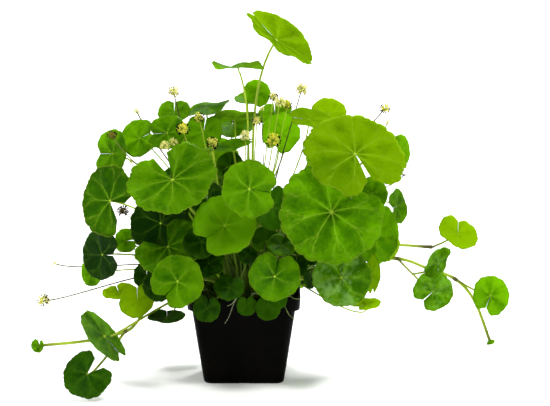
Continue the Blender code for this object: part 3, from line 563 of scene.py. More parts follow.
    def part_stalks(self, move):
        """Stalks of different nodes keep apart, and keep off the stems."""
        samples = self.sample()
        stalks = len(samples)
        knots = samples[:, ::PER_STEP]
        starts = knots[:, :-1].reshape(-1, 3)
        ends = knots[:, 1:].reshape(-1, 3)
        owner = np.repeat(np.arange(stalks), STALK_STEPS)
        family = self.group[owner]
        thick = np.full(len(starts), PETIOLE_RADIUS)
        for number, path in enumerate(self.stems.values()):
            starts = np.vstack((starts, path[:-1]))
            ends = np.vstack((ends, path[1:]))
            owner = np.append(owner, np.full(len(path) - 1, -1 - number))
            family = np.append(family, np.full(len(path) - 1, -1 - number))
            thick = np.append(thick, np.full(len(path) - 1, STEM_RADIUS))
        first, second, gap, s, t = closest_pairs(starts, ends)
        need = thick[first] + thick[second] + STALKS_APART
        bad = (gap < need) & (family[first] != family[second])
        for a, b, share_a, share_b in zip(first[bad], second[bad], s[bad], t[bad]):
            here = starts[a] + (ends[a] - starts[a]) * share_a
            there = starts[b] + (ends[b] - starts[b]) * share_b
            between = here - there
            size = np.linalg.norm(between)
            way = between / size if size > 0.05 else np.cross(ends[a] - starts[a], ends[b] - starts[b])
            way = way / max(np.linalg.norm(way), 1e-6)
            push = way * min(thick[a] + thick[b] + STALKS_APART - size, STEP_MOST) * BETWEEN_STALKS
            for which, share, sign in ((a, share_a, 1), (b, share_b, -1)):
                if owner[which] < 0:
                    continue
                stalk = owner[which]
                spot = int(round((which - stalk * STALK_STEPS + share) * PER_STEP))
                if self.grows_on(stalk, owner[a + b - which]) and spot < NEAR_STEM:
                    continue
                self.shift_stalk(stalk, min(spot, SAMPLES - 1), sign * push)
                if spot < NEAR_FOOT and self.rooted[stalk]:
                    self.foot_move[stalk] += sign * push * (1, 1, 0) * BETWEEN_STALKS
                if spot > SAMPLES - NEAR_HUB:
                    move[stalk] += sign * push * BETWEEN_STALKS

    def grows_on(self, stalk, other):
        node = self.growths[stalk].node
        return other < 0 and node in GROWS_FROM and list(STEMS)[-1 - other] == GROWS_FROM[node][0]

    def spread_feet(self):
        """Feet keep apart on the compost."""
        between = self.foot[:, None] - self.foot[None]
        size = np.maximum(np.linalg.norm(between, axis=-1), 0.1)
        apart = self.rooted[:, None] & self.rooted & ~np.eye(len(size), dtype=bool)
        push = np.where(apart, np.maximum(FOOT_APART - size, 0), 0) * FEET_SHARE
        self.foot_move += (between / size[..., None] * push[..., None]).sum(axis=1)
        feet = self.foot + self.foot_move
        kept_in = np.clip(feet[:, :2], -FOOT_REACH, FOOT_REACH)
        feet[:, :2] = np.where(self.rooted[:, None], kept_in, feet[:, :2])
        feet[:, 2] = self.foot[:, 2]
        self.foot = np.where(self.rooted[:, None], feet, self.foot)

    def clear_pot(self, move):
        """Stalks pass over the lip, blades stay outside the pot and above the surface it stands on."""
        samples = self.sample()
        wide = np.abs(samples[..., :2]).max(axis=-1)
        low = POT_HEIGHT + STALK_OVER_LIP - samples[..., 2]
        over_lip = (wide > POT_NECK / 2 - 4) & (wide < POT_LIP / 2 + 2) & (low > 0)
        for stalk in range(len(samples)):
            spots = np.flatnonzero(over_lip[stalk])
            if len(spots):
                worst = spots[np.argmax(low[stalk, spots])]
                self.shift_stalk(stalk, worst, UP * min(low[stalk, worst], STEP_MOST))
        spots = self.hub[: self.count, None] + np.einsum("nka,nab->nkb", self.spots, self.axes)
        box = POT_LIP / 2 + BLADE_OFF_POT
        flat = np.abs(spots[..., :2])
        within = (flat.max(axis=-1) < box) & (spots[..., 2] < POT_HEIGHT + BLADE_OFF_POT)
        for i in range(self.count):
            if within[i].any():
                inward = box - np.abs(spots[i, within[i], 1]).min()
                rise = POT_HEIGHT + BLADE_OFF_POT - spots[i, within[i], 2].min()
                if rise < inward:
                    move[i] += UP * min(rise, STEP_MOST) * POT_SHARE
                else:
                    move[i, 1] += math.copysign(min(inward, STEP_MOST), self.hub[i, 1]) * POT_SHARE
            floor = FLOOR_CLEAR - spots[i, :, 2].min()
            if floor > 0:
                move[i, 2] += floor

    def settle(self):
        """Eases everything apart, round by round, and moves the hubs of leaves and heads."""
        for _ in range(ROUNDS):
            self.set_forks()
            move = np.zeros_like(self.hub)
            self.foot_move = np.zeros_like(self.foot)
            self.part_blades(move)
            self.part_stalks_from_blades(move)
            self.part_stalks(move)
            self.clear_pot(move)
            self.spread_feet()
            size = np.linalg.norm(move, axis=1, keepdims=True)
            move *= np.minimum(1, STEP_MOST / np.maximum(size, 1e-9))
            self.hub += move
            self.hub = np.round(self.hub, 3)
            self.foot = np.round(self.foot, 3)
            self.bend = np.round(self.bend * BEND_KEPT, 3)
        self.set_forks()
        for growth, hub in zip(self.growths, self.hub):
            growth.hub = hub


def closest_pairs(starts, ends):
    """For segments that come near each other: index pairs, their gap, and where on each it is."""
    way = ends - starts
    middle = (starts + ends) / 2
    half = np.linalg.norm(way, axis=1) / 2
    apart = np.sqrt(np.maximum(((middle[:, None] - middle[None]) ** 2).sum(axis=-1), 0))
    first, second = np.nonzero(np.triu(apart < half[:, None] + half + 4, 1))
    a, b, rel = way[first], way[second], starts[first] - starts[second]
    aa, bb, ab = (a * a).sum(axis=1), (b * b).sum(axis=1), (a * b).sum(axis=1)
    ar, br = (a * rel).sum(axis=1), (b * rel).sum(axis=1)
    s = np.clip((ab * br - ar * bb) / np.maximum(aa * bb - ab**2, 1e-9), 0, 1)
    t = np.clip((ab * s + br) / bb, 0, 1)
    s = np.clip((ab * t - ar) / aa, 0, 1)
    gap = np.linalg.norm(rel + s[:, None] * a - t[:, None] * b, axis=1)
    return first, second, gap, s, t


# Fine surface of the green parts: thickness, and the sides and steps of stalks and stems
BLADE_FINE = 0.36
STALK_ROUND = 8
HEAD_STALK_ROUND = 6
STALK_RUN = 26
STEM_RUN = 7
# Blade grids: from this radius on, columns round the hub and rings out to the margin
BLADE_GRIDS = [(28.0, 144, 16), (16.0, 112, 12), (0.0, 72, 9)]
# What a fine blade has beyond its solid, in shares of its radius: its margin's reach, the depth of the
# bays between lobes and between teeth, pleats, ripples as times round, phase and height, and a dip at
# its hub. The bays are narrower than a wave by the powers that they are raised to.
FINE_REACH = 1.022
BAY_DEPTH, BAY_POWER = 0.06, 2.2
TOOTH_DEPTH, TOOTH_POWER = 0.042, 1.6
TEETH_PER_LOBE = 3.0
PLEAT_HEIGHT = 0.022
RIPPLES = [(5.0, 1.7, 0.014), (9.0, 2.3, 0.009)]
DIP_WIDTH = 0.1
DIP_DEPTH = 0.03
# Points of a blade that are closer than this become one
WELD = 0.02
# The powers of the way out, and of the way along the slit, by which a blade thins to its edges
RIM_TAPER = 8.0
SLIT_TAPER = 24.0
# Coordinates that a finish reads are in centimetres, moved on from blade to blade
MM_PER_CM = 10
MAP_SHIFT = (7.0, 3.0)

# Tone of a node's blades, from deep green at 0 to bright yellow-green at 1: partly the blades' own green and
# partly painted light and shade, deep for blades that stand in shade and bright for blades that light shines
# through
TONES = {
    "leaf_top": 0.66, "leaf_top_flat": 0.45, "leaves_crown": 0.78, "leaf_crown_left": 0.42,
    "leaf_crown_turned": 0.4, "leaf_crown_slanted": 0.5, "leaf_shoulder_left": 0.85,
    "leaves_shoulder_left": 0.58, "leaf_heart": 0.6, "leaf_side_left_upper": 0.42,
    "leaf_side_left_middle": 0.05, "leaf_side_left_lower": -0.05, "leaves_side_left_small": 0.45,
    "leaf_shade_left": 0.0, "leaf_left_lower": 0.45, "leaf_left_inner": 0.3, "leaf_front_left": 0.72,
    "leaf_front_upper": 0.78, "leaf_front_middle": 0.9, "leaf_shade_middle": 0.25,
    "leaf_inner_right": 0.7, "leaf_front_large": 0.5, "leaf_shoulder_right_large": 0.8,
    "leaf_shoulder_right_back": 0.95, "leaf_crown_right": 0.95, "leaf_side_right_upper": 0.92,
    "leaves_side_right_small": 0.45, "leaf_side_right_middle": 0.66, "leaf_side_right_turned": 0.8,
    "leaf_front_right": 0.5, "leaves_side_right_low": 0.75, "leaf_front_lower": 0.5,
    "leaves_rim_left": 0.5, "leaves_rim_right": 1.1, "leaves_shade_right": 0.2,
    "leaves_shade_middle": 0.15, "leaves_shade_left": 0.2, "leaf_trailing_left_upper": 0.4,
    "leaf_trailing_left_lower": 0.55, "leaves_pale_left": 0.85, "leaf_trailing_right_upper": 0.95,
    "leaves_trailing_right": 0.45, "leaf_trailing_right_end": 0.72,
}
PLAIN_TONE = 0.45

# How much of a node's blades has a painted sheen: pale silvery patches painted into the colour as a
# reflection of the light
PAINTED_SHEENS = {
    "leaf_front_right": 0.26, "leaves_trailing_right": 0.15, "leaf_trailing_left_upper": 0.06,
}


def linked(name, data):
    """A new object in the scene."""
    made = bpy.data.objects.new(name, data)
    bpy.context.scene.collection.objects.link(made)
    return made


def mesh_of(bm, name):
    """The mesh of what was built, which is then let go."""
    mesh = bpy.data.meshes.new(name)
    bm.to_mesh(mesh)
    bm.free()
    return mesh


def applied(thing):
    """The plain mesh that an object makes with its modifiers."""
    ready = thing.evaluated_get(bpy.context.evaluated_depsgraph_get())
    return bpy.data.meshes.new_from_object(ready)


class Number:
    """A value in a node tree, so that a formula over it is written as one."""

    def __init__(self, nodes, socket):
        self.nodes = nodes
        self.socket = socket

    def __add__(self, other):
        return self.nodes.math("ADD", self, other)

    __radd__ = __add__

    def __sub__(self, other):
        return self.nodes.math("SUBTRACT", self, other)

    def __rsub__(self, other):
        return self.nodes.math("SUBTRACT", other, self)

    def __mul__(self, other):
        return self.nodes.math("MULTIPLY", self, other)

    __rmul__ = __mul__

    def __truediv__(self, other):
        return self.nodes.math("DIVIDE", self, other)

    def __rtruediv__(self, other):
        return self.nodes.math("DIVIDE", other, self)

    def __pow__(self, other):
        return self.nodes.math("POWER", self, other)

    def __abs__(self):
        return self.nodes.math("ABSOLUTE", self)


class Nodes:
    """A node tree being built: formulas go through math, any other node through add."""

    def __init__(self, tree):
        self.tree = tree

    def add(self, kind, settings=None, inputs=None):
        made = self.tree.nodes.new(kind)
        for key, value in (settings or {}).items():
            setattr(made, key, value)
        for key, value in (inputs or {}).items():
            if isinstance(value, Number):
                value = value.socket
            if isinstance(value, bpy.types.NodeSocket):
                self.tree.links.new(value, made.inputs[key])
            else:
                made.inputs[key].default_value = value
        return made

    def first(self, kind, settings=None, inputs=None):
        """The first output of a new node."""
        return self.add(kind, settings, inputs).outputs[0]

    def number(self, kind, settings=None, inputs=None, output=0):
        return Number(self, self.add(kind, settings, inputs).outputs[output])

    def math(self, operation, *values):
        return self.number("ShaderNodeMath", {"operation": operation}, dict(enumerate(values)))

    def sin(self, angle):
        return self.math("SINE", angle)

    def cos(self, angle):
        return self.math("COSINE", angle)

    def bell(self, value):
        """1 at 0, falling to nothing on both sides."""
        return self.math("EXPONENT", value ** 2.0 * -1.0)

    def clamp(self, value):
        return self.number("ShaderNodeMath", {"operation": "ADD", "use_clamp": True}, {0: value, 1: 0.0})

    def ramp(self, value, low, high):
        """Rises smoothly from 0 at low to 1 at high."""
        stops = {0: value, 1: low, 2: high}
        return self.number("ShaderNodeMapRange", {"interpolation_type": "SMOOTHSTEP"}, stops)

    def parts(self, vector):
        split = self.add("ShaderNodeSeparateXYZ", inputs={0: vector})
        return [Number(self, split.outputs[axis]) for axis in range(3)]

    def vector(self, x, y, z=0.0):
        return self.first("ShaderNodeCombineXYZ", inputs={0: x, 1: y, 2: z})

    def scaled(self, vector, size):
        return self.first("ShaderNodeVectorMath", {"operation": "SCALE"}, {0: vector, "Scale": size})

    def summed(self, total, *vectors):
        for vector in vectors:
            total = self.first("ShaderNodeVectorMath", {"operation": "ADD"}, {0: total, 1: vector})
        return total

    def random(self, low, high, seed, **each):
        """A random number, or a random vector where low and high are vectors."""
        if isinstance(low, tuple):
            values = {0: low, 1: high, "Seed": seed, **each}
            return self.first("FunctionNodeRandomValue", {"data_type": "FLOAT_VECTOR"}, values)
        values = {2: low, 3: high, "Seed": seed, **each}
        return self.number("FunctionNodeRandomValue", {"data_type": "FLOAT"}, values, output=1)

    def read(self, name):
        """A number that the mesh carries, in a geometry tree."""
        return self.number("GeometryNodeInputNamedAttribute", {"data_type": "FLOAT"}, {"Name": name})

    def read_vector(self, name):
        return self.first("GeometryNodeInputNamedAttribute", {"data_type": "FLOAT_VECTOR"}, {"Name": name})

    def keep(self, mesh, name, value, kind="FLOAT2", domain="CORNER"):
        """The mesh with a value stored on it under a name, as a UV map unless told otherwise."""
        return self.first(
            "GeometryNodeStoreNamedAttribute", {"data_type": kind, "domain": domain},
            {"Geometry": mesh, "Name": name, "Value": value},
        )

    def paint(self, mesh, material):
        return self.first("GeometryNodeSetMaterial", inputs={0: mesh, "Material": material})

    def loose_points(self, mesh, mark):
        """The marked points, and the rest of the mesh."""
        kinds = self.add(
            "GeometryNodeSeparateGeometry", {"domain": "POINT"}, {0: mesh, 1: self.read(mark)}
        )
        return kinds.outputs[0], kinds.outputs[1]

    def planted(self, points, shape, **more):
        """Copies of a shape on points."""
        return self.first(
            "GeometryNodeInstanceOnPoints", inputs={"Points": points, "Instance": shape, **more}
        )

    def realized(self, instances):
        return self.first("GeometryNodeRealizeInstances", inputs={0: instances})

    def shape_of(self, thing):
        """The mesh of an object that the tree is given."""
        return self.add("GeometryNodeObjectInfo", inputs={0: thing}).outputs["Geometry"]


def geometry_tree(name, **sockets):
    """A geometry tree with named inputs; gives its nodes, its inputs and a function that closes it."""
    tree = bpy.data.node_groups.new(name, "GeometryNodeTree")
    tree.interface.new_socket(name="Geometry", in_out="INPUT", socket_type="NodeSocketGeometry")
    for key, kind in sockets.items():
        tree.interface.new_socket(name=key, in_out="INPUT", socket_type=f"NodeSocket{kind}")
    tree.interface.new_socket(name="Geometry", in_out="OUTPUT", socket_type="NodeSocketGeometry")
    nodes = Nodes(tree)
    given = nodes.add("NodeGroupInput").outputs

    def close(mesh):
        nodes.add("NodeGroupOutput", inputs={0: mesh})
        return tree

    return nodes, given, close


def grown(name, tree, mesh, values):
    """The plain mesh that a geometry tree makes of a starting mesh."""
    start = linked(name, mesh)
    step = start.modifiers.new(tree.name, "NODES")
    step.node_group = tree
    for item in tree.interface.items_tree:
        if item.in_out == "INPUT" and item.name in values:
            step[item.identifier] = values[item.name]
    made = applied(start)
    made.name = name
    bpy.data.objects.remove(start)
    bpy.data.meshes.remove(mesh)
    return made


def growth_tree():
    """Grows a blade on each loose point and a round stalk along each run of edges."""
    nodes, given, close = geometry_tree(
        "grow_blades_and_stalks", Around="Int", Rings="Int", Round="Int", Blade="Material", Stalk="Material"
    )
    points, runs = nodes.loose_points(given["Geometry"], "is_blade")
    counts = {"Vertices X": given["Around"], "Vertices Y": given["Rings"]}
    grid = nodes.first("GeometryNodeMeshGrid", inputs={"Size X": 2.0, "Size Y": 2.0, **counts})
    grid = nodes.keep(grid, "sheet", nodes.first("GeometryNodeInputPosition"), "FLOAT_VECTOR", "POINT")
    sheets = nodes.realized(nodes.planted(points, grid))

    across, along, _ = nodes.parts(nodes.read_vector("sheet"))
    radius, lobes, phase = nodes.read("radius"), nodes.read("lobes"), nodes.read("phase")
    half_gape, bend = nodes.read("half_gape"), nodes.read("fold")
    share = (across + 1.0) * 0.5
    rho = 1.0 - abs(along)
    angle = half_gape + share * (math.tau - half_gape * 2.0)

    side = nodes.math("MINIMUM", angle, math.tau - angle)
    rounded = 1.0 - CORNER_CUT * nodes.bell((side - half_gape) / CORNER_WIDTH)
    bay = 1.0 - abs(nodes.sin(share * lobes * math.pi))
    notch = 1.0 - abs(nodes.sin((share * lobes * TEETH_PER_LOBE + 0.5) * math.pi))
    edge = rounded * (FINE_REACH - BAY_DEPTH * bay ** BAY_POWER - TOOTH_DEPTH * notch ** TOOTH_POWER)
    reach = radius * edge * rho

    flat = rho ** 2.0
    waves = nodes.read("dish") + nodes.read("sway") * nodes.sin(angle * 3.0 + phase)
    pleat = nodes.cos((share * lobes) * math.tau) * PLEAT_HEIGHT * rho
    (times, shift, height), (fine_times, fine_shift, fine_height) = RIPPLES
    ripple = nodes.sin(angle * times + phase * shift) * height * flat
    ripple = ripple + nodes.sin(angle * fine_times + phase * fine_shift) * fine_height * flat * rho
    hub_dip = nodes.bell(rho / DIP_WIDTH) * DIP_DEPTH
    fold = nodes.sin(bend) * rho * abs(nodes.sin(angle))
    lift = radius * (waves * flat + fold + pleat + ripple - hub_dip)
    taper = (1.0 - rho ** RIM_TAPER) * (1.0 - abs(across) ** SLIT_TAPER)
    half = nodes.math("SQRT", nodes.math("MAXIMUM", taper, 0.0))
    thick = half * nodes.math("SIGN", along) * BLADE_FINE / 2

    flat_x = reach * nodes.cos(angle)
    flat_y = reach * nodes.sin(angle)
    spot = nodes.summed(
        nodes.read_vector("hub"), nodes.scaled(nodes.read_vector("slit"), flat_x),
        nodes.scaled(nodes.read_vector("beside"), flat_y * nodes.cos(bend)),
        nodes.scaled(nodes.read_vector("normal"), lift + thick),
    )
    upper = nodes.number("GeometryNodeFieldOnDomain", {"data_type": "FLOAT", "domain": "FACE"}, {0: along})
    sector = radius * (math.tau / lobes)
    shift_x, shift_y = MAP_SHIFT
    maps = {
        "veins": nodes.vector(share * lobes, rho * nodes.math("SIGN", upper)),
        "spots": nodes.vector(flat_x / MM_PER_CM + phase * shift_x, flat_y / MM_PER_CM + phase * shift_y),
        "habit": nodes.vector(nodes.read("tone"), sector / MM_PER_CM),
        "bloom": nodes.vector(nodes.read("bloom"), radius / MM_PER_CM),
    }
    blades = nodes.first("GeometryNodeSetPosition", inputs={0: sheets, "Position": nodes.scaled(spot, MM)})
    for name, value in maps.items():
        blades = nodes.keep(blades, name, value)
    blades = nodes.first("GeometryNodeMergeByDistance", inputs={0: blades, "Distance": WELD * MM})
    return close(joined(nodes, nodes.paint(blades, given["Blade"]), stalks_along(nodes, given, runs)))


def stalks_along(nodes, given, runs):
    """Round stalks along runs of edges, as thick as the runs say."""
    curves = nodes.first("GeometryNodeMeshToCurve", inputs={0: runs})
    size = {"Resolution": given["Round"], "Radius": 1.0}
    ring = nodes.first("GeometryNodeCurvePrimitiveCircle", inputs=size)
    shape = {0: curves, 1: ring, "Scale": nodes.read("thick") * MM, "Fill Caps": True}
    return nodes.paint(nodes.first("GeometryNodeCurveToMesh", inputs=shape), given["Stalk"])


def joined(nodes, *meshes):
    """The meshes as one smooth one, with no instances left in it."""
    both = nodes.add("GeometryNodeJoinGeometry")
    for mesh in meshes:
        nodes.tree.links.new(mesh, both.inputs[0])
    return nodes.realized(nodes.first("GeometryNodeSetShadeSmooth", inputs={0: both.outputs[0]}))


# An umbel: the turn between florets, how much of the ball they cover, how far they stray and vary in
# size, and how far from the middle of its face the ring of open florets reaches
GOLDEN_TURN = math.pi * (3 - math.sqrt(5))
UMBEL_COVER = 1.82
FLORET_STRAY = 0.16
FLORET_SIZES = (0.82, 1.06)
RING_MIDDLE = 0.02
RING_HALF = 0.5
UMBEL_SEED = 3


def umbel_tree():
    """Grows a round head of florets on each loose point and a round stalk along each run of edges."""
    nodes, given, close = geometry_tree(
        "grow_heads_and_stalks", Floret="Object", Round="Int", Seed="Int", Flower="Material",
        Stalk="Material",
    )
    points, runs = nodes.loose_points(given["Geometry"], "is_head")
    florets = nodes.read("florets")
    copies = nodes.add(
        "GeometryNodeDuplicateElements", {"domain": "POINT"}, {0: points, "Amount": florets}
    )
    order = Number(nodes, copies.outputs["Duplicate Index"])
    height = 1.0 - (order + 0.5) * UMBEL_COVER / florets
    turn = order * GOLDEN_TURN + nodes.read("phase")
    wide = nodes.math("SQRT", 1.0 - height ** 2.0)
    way = nodes.vector(wide * nodes.cos(turn), wide * nodes.sin(turn), height)
    stray = nodes.random((-FLORET_STRAY,) * 3, (FLORET_STRAY,) * 3, given["Seed"], ID=order)
    aim = nodes.summed(way, stray)
    facing_out = nodes.first("FunctionNodeAlignRotationToVector", inputs={"Vector": aim})
    size = nodes.read("radius") * nodes.random(*FLORET_SIZES, given["Seed"], ID=order) * MM
    toward = nodes.number(
        "ShaderNodeVectorMath", {"operation": "DOT_PRODUCT"}, {0: way, 1: nodes.read_vector("axis")},
        output="Value",
    )
    ring = nodes.math("GREATER_THAN", RING_HALF - abs(toward - RING_MIDDLE), 0.0)
    spots = nodes.keep(copies.outputs[0], "ring", ring, "FLOAT", "POINT")
    heads = nodes.planted(spots, nodes.shape_of(given["Floret"]), Rotation=facing_out, Scale=size)
    heads = nodes.paint(nodes.realized(heads), given["Flower"])
    return close(joined(nodes, heads, stalks_along(nodes, given, runs)))


class Strand:
    """A run of points that becomes a round stalk, with its thickness and tint at each."""

    def __init__(self, points, thick, tint):
        self.points = np.asarray(points, dtype=float)
        count = len(self.points)
        self.thick = np.broadcast_to(np.asarray(thick, dtype=float), count)
        self.tint = np.broadcast_to(np.asarray(tint, dtype=float), count)


def smooth_path(points, each):
    """A curve through the points, with some steps between each two."""
    points = np.asarray(points, dtype=float)
    ends = np.vstack([2 * points[0] - points[1], points, 2 * points[-1] - points[-2]])
    t = np.linspace(0, 1, each, endpoint=False)[:, None]
    runs = [
        0.5 * (2 * b + (c - a) * t + (2 * a - 5 * b + 4 * c - d) * t**2 + (3 * b - a - 3 * c + d) * t**3)
        for a, b, c, d in zip(ends, ends[1:], ends[2:], ends[3:])
    ]
    return np.vstack(runs + [points[-1:]])


def starting_mesh(name, growths, kind, numbers, vectors, strands):
    """Loose points that carry each growth's measures, and edges that carry each stalk's."""
    points = [growth.hub * MM for growth in growths]
    edges = []
    for strand in strands:
        begin = len(points)
        points.extend(strand.points * MM)
        edges.extend((begin + k, begin + k + 1) for k in range(len(strand.points) - 1))
    mesh = bpy.data.meshes.new(name)
    mesh.from_pydata([tuple(point) for point in points], edges, [])

    def carry(key, values, kind="FLOAT", field="value"):
        mesh.attributes.new(key, kind, "POINT").data.foreach_set(field, np.array(values, dtype=float).ravel())

    bare = len(points) - len(growths)
    carry(kind, [1.0] * len(growths) + [0.0] * bare)
    for key in numbers:
        carry(key, [getattr(growth, key) for growth in growths] + [0.0] * bare)
    for key in vectors:
        rows = [getattr(growth, key) for growth in growths] + [(0.0, 0.0, 0.0)] * bare
        carry(key, rows, "FLOAT_VECTOR", "vector")
    for key in ("thick", "tint"):
        carry(key, [0.0] * len(growths) + [value for strand in strands for value in getattr(strand, key)])
    return mesh


BLADE_NUMBERS = SHAPE_KEYS + ("tone", "bloom")
BLADE_VECTORS = ("hub", "slit", "beside", "normal")
HEAD_NUMBERS = ("radius", "age", "phase", "florets")
HEAD_VECTORS = ("axis",)


def blade_grid(leaves):
    """Columns and rows of the grid that suits the largest of these blades."""
    largest = max([leaf.radius for leaf in leaves], default=0)
    for least, around, rings in BLADE_GRIDS:
        if largest >= least:
            return around + 1, 2 * rings + 1


def declare(made, slot, *nodes):
    """Hangs a piece on the root body and hides the solids that it stands for; its slot is not used."""
    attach(made, "root")
    if nodes:
        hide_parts(*nodes)


class Surface(Nodes):
    """A material's nodes, ending in one shader."""

    def __init__(self, name):
        self.material = bpy.data.materials.new(name)
        self.material.use_nodes = True
        super().__init__(self.material.node_tree)
        self.tree.nodes.clear()

    def map(self, name):
        """The coordinates that a piece carries along its own surface."""
        return self.first("ShaderNodeUVMap", {"uv_map": name})

    def place(self):
        return self.add("ShaderNodeTexCoord").outputs["Object"]

    def stretched(self, vector, sizes):
        return self.first("ShaderNodeVectorMath", {"operation": "MULTIPLY"}, {0: vector, 1: sizes})

    def carried(self, name):
        """A number that a piece's points carry."""
        return self.number("ShaderNodeAttribute", {"attribute_name": name}, output="Fac")

    def noise(self, vector, scale, detail=2.0, roughness=0.5, distortion=0.0):
        values = {"Scale": scale, "Detail": detail, "Roughness": roughness, "Distortion": distortion}
        return self.number("ShaderNodeTexNoise", inputs={0: vector, **values})

    def cells(self, vector, scale):
        values = {"Vector": vector, "Scale": scale}
        return self.number("ShaderNodeTexVoronoi", {"feature": "DISTANCE_TO_EDGE"}, values)

    def line(self, distance, core, edge):
        """1 in a line's core, fading to 0 at its edge."""
        return 1.0 - self.ramp(distance, core, edge)

    def mix(self, share, first, second):
        """Two colours mixed: sockets 6 and 7 of a Mix node, and its output 2, are those for colours."""
        made = self.add("ShaderNodeMix", {"data_type": "RGBA"}, {0: share, 6: first, 7: second})
        return made.outputs[2]

    def bump(self, height, distance, strength):
        values = {"Strength": strength, "Distance": distance, "Height": height}
        return self.first("ShaderNodeBump", inputs=values)

    def principled(self, **inputs):
        named = {key.replace("_", " "): value for key, value in inputs.items()}
        return self.first("ShaderNodeBsdfPrincipled", inputs=named)

    def finish(self, shader):
        self.add("ShaderNodeOutputMaterial", inputs={0: shader})
        return self.material


# Leaf skin, with lengths in cm: how often its patterns repeat, and how much each lightens the green
PATCHES, PATCH_SHARE = 0.55, 1.15
MOTTLE, MOTTLE_SHARE = 3.2, 0.7
GRAIN, GRAIN_SHARE = 22.0, 0.5
NET, NET_SHARE = 3.4, 0.12
FINE_NET, FINE_NET_SHARE = 8.5, 0.06
SPECKS = 14.0
# How much the painted pleat shade lightens the green near the middle veins, against the darker green between
# them
PAINTED_PLEAT_SHARE = 0.3
EDGE_SHARE = 0.3
# Where a lobe's middle vein forks, and its branches again, as shares of the way to the margin
VEIN_FORK = 0.42
TWIG_FORK = 0.7


def leaf_veins(s, turn, rho, sector, flat):
    """How strongly a spot lies on its lobe's middle vein or on one of its branches, and how near the middle
    vein it lies, which lightens the green as a painted shade of the pleats.
    """
    stray = (s.noise(flat, 1.1, 2.0, 0.6) - 0.5) * rho
    off = s.math("FRACT", turn + stray * 0.5) - 0.5
    span = sector * rho * 10.0
    width = 0.62 - 0.38 * rho
    split = s.clamp((rho - VEIN_FORK) * 1.9)
    branch = abs(abs(off) - 0.27 * split)
    twig = abs(branch - 0.11 * s.clamp((rho - TWIG_FORK) * 3.4))
    first = s.line(abs(off) * span, width * 0.35, width) * (1.0 - 0.6 * split)
    second = s.line(branch * span, 0.12, 0.42) * s.ramp(rho, VEIN_FORK, 0.5) * 0.75
    third = s.line(twig * span, 0.1, 0.36) * s.ramp(rho, 0.68, 0.76) * 0.55
    # Painted shade of the pleats: lighter near each middle vein and towards the hub, darker between the veins
    painted_pleat_shade = s.ramp(abs(off), 0.42, 0.06) * (1.0 - 0.7 * rho)
    return s.math("MAXIMUM", first, s.math("MAXIMUM", second, third)), painted_pleat_shade


def leaf_finish(name, deep, middle, light, vein, through, share_through, gloss):
    """A thin leaf: radiating forked veins, mottled flesh, painted pleat shade and sheen, a pale rim painted
    as light shining through the margin, and light that passes through.
    """
    s = Surface(name)
    turn, reach, _ = s.parts(s.map("veins"))
    tone, sector, _ = s.parts(s.map("habit"))
    bloom, size, _ = s.parts(s.map("bloom"))
    rho = abs(reach)
    under = s.ramp(reach, 0.02, -0.02)
    flat = s.stretched(s.map("spots"), (1.0, 1.0, 0.0))
    veins, painted_pleat_shade = leaf_veins(s, turn, rho, sector, flat)

    net = s.line(s.cells(flat, NET), 0.0, 0.09)
    fine = s.line(s.cells(flat, FINE_NET), 0.0, 0.12)
    patches = s.noise(flat, PATCHES, 3.0, 0.55)
    mottle = s.noise(flat, MOTTLE, 3.0, 0.6)
    grain = s.noise(flat, GRAIN, 2.0, 0.6)
    specks = s.ramp(s.noise(flat, SPECKS, 1.0, 0.5), 0.68, 0.76) * s.ramp(patches, 0.45, 0.6)
    hub = s.line(rho, 0.015, 0.06)
    # Pale rim: painted light, as of light shining through the thin margin
    rim = s.ramp(rho, 0.96, 0.985)

    glow = tone + (patches - 0.5) * PATCH_SHARE + (mottle - 0.5) * MOTTLE_SHARE + (grain - 0.5) * GRAIN_SHARE
    glow = glow + painted_pleat_shade * PAINTED_PLEAT_SHARE - NET_SHARE * net - FINE_NET_SHARE * fine + (rho - 0.6) * EDGE_SHARE
    low = s.mix(s.ramp(glow, 0.0, 0.55), deep, middle)
    flesh = s.mix(s.ramp(glow, 0.4, 1.05), low, light)
    drawn = veins * s.clamp(0.06 + size * 0.14) + hub * 0.8 + rim * 0.5 + specks * 0.35
    turned = s.mix(under * 0.3, s.mix(s.clamp(drawn), flesh, vein), vein)
    # Painted sheen: pale silvery patches painted into the colour as a reflection of the light
    painted_sheen_mask = bloom * s.ramp(patches + (mottle - 0.5) * 0.6, 0.47, 0.6) * (0.35 + grain)
    colour = s.mix(s.clamp(painted_sheen_mask), turned, PAINTED_SHEEN_COLOUR)

    height = veins * -0.35 + net * -0.25 + fine * -0.12 + grain * 0.12 + patches * 0.3
    normal = s.bump(height, 0.0006, 0.35)
    rough = 0.4 + (patches - 0.5) * 0.16 + under * 0.14 + veins * 0.05
    skin = s.principled(Base_Color=colour, Roughness=rough, Normal=normal, Specular_IOR_Level=gloss)
    back_light = s.first("ShaderNodeBsdfTranslucent", inputs={0: through})
    share = (0.42 + 0.75 * s.ramp(glow, 0.0, 1.05) - 0.2 * veins) * share_through
    return s.finish(s.first("ShaderNodeMixShader", inputs={"Fac": share, 1: skin, 2: back_light}))


STALK_GREEN = (0.28, 0.42, 0.012, 1)
STALK_YELLOW = (0.46, 0.6, 0.04, 1)
STALK_PAINTED_SHADE = (0.03, 0.075, 0.004, 1)
STALK_BROWN = (0.05, 0.036, 0.006, 1)
STALK_LINES = (0.2, 0.34, 0.012, 1)
ROOT_WHITE = (0.75, 0.72, 0.5, 1)


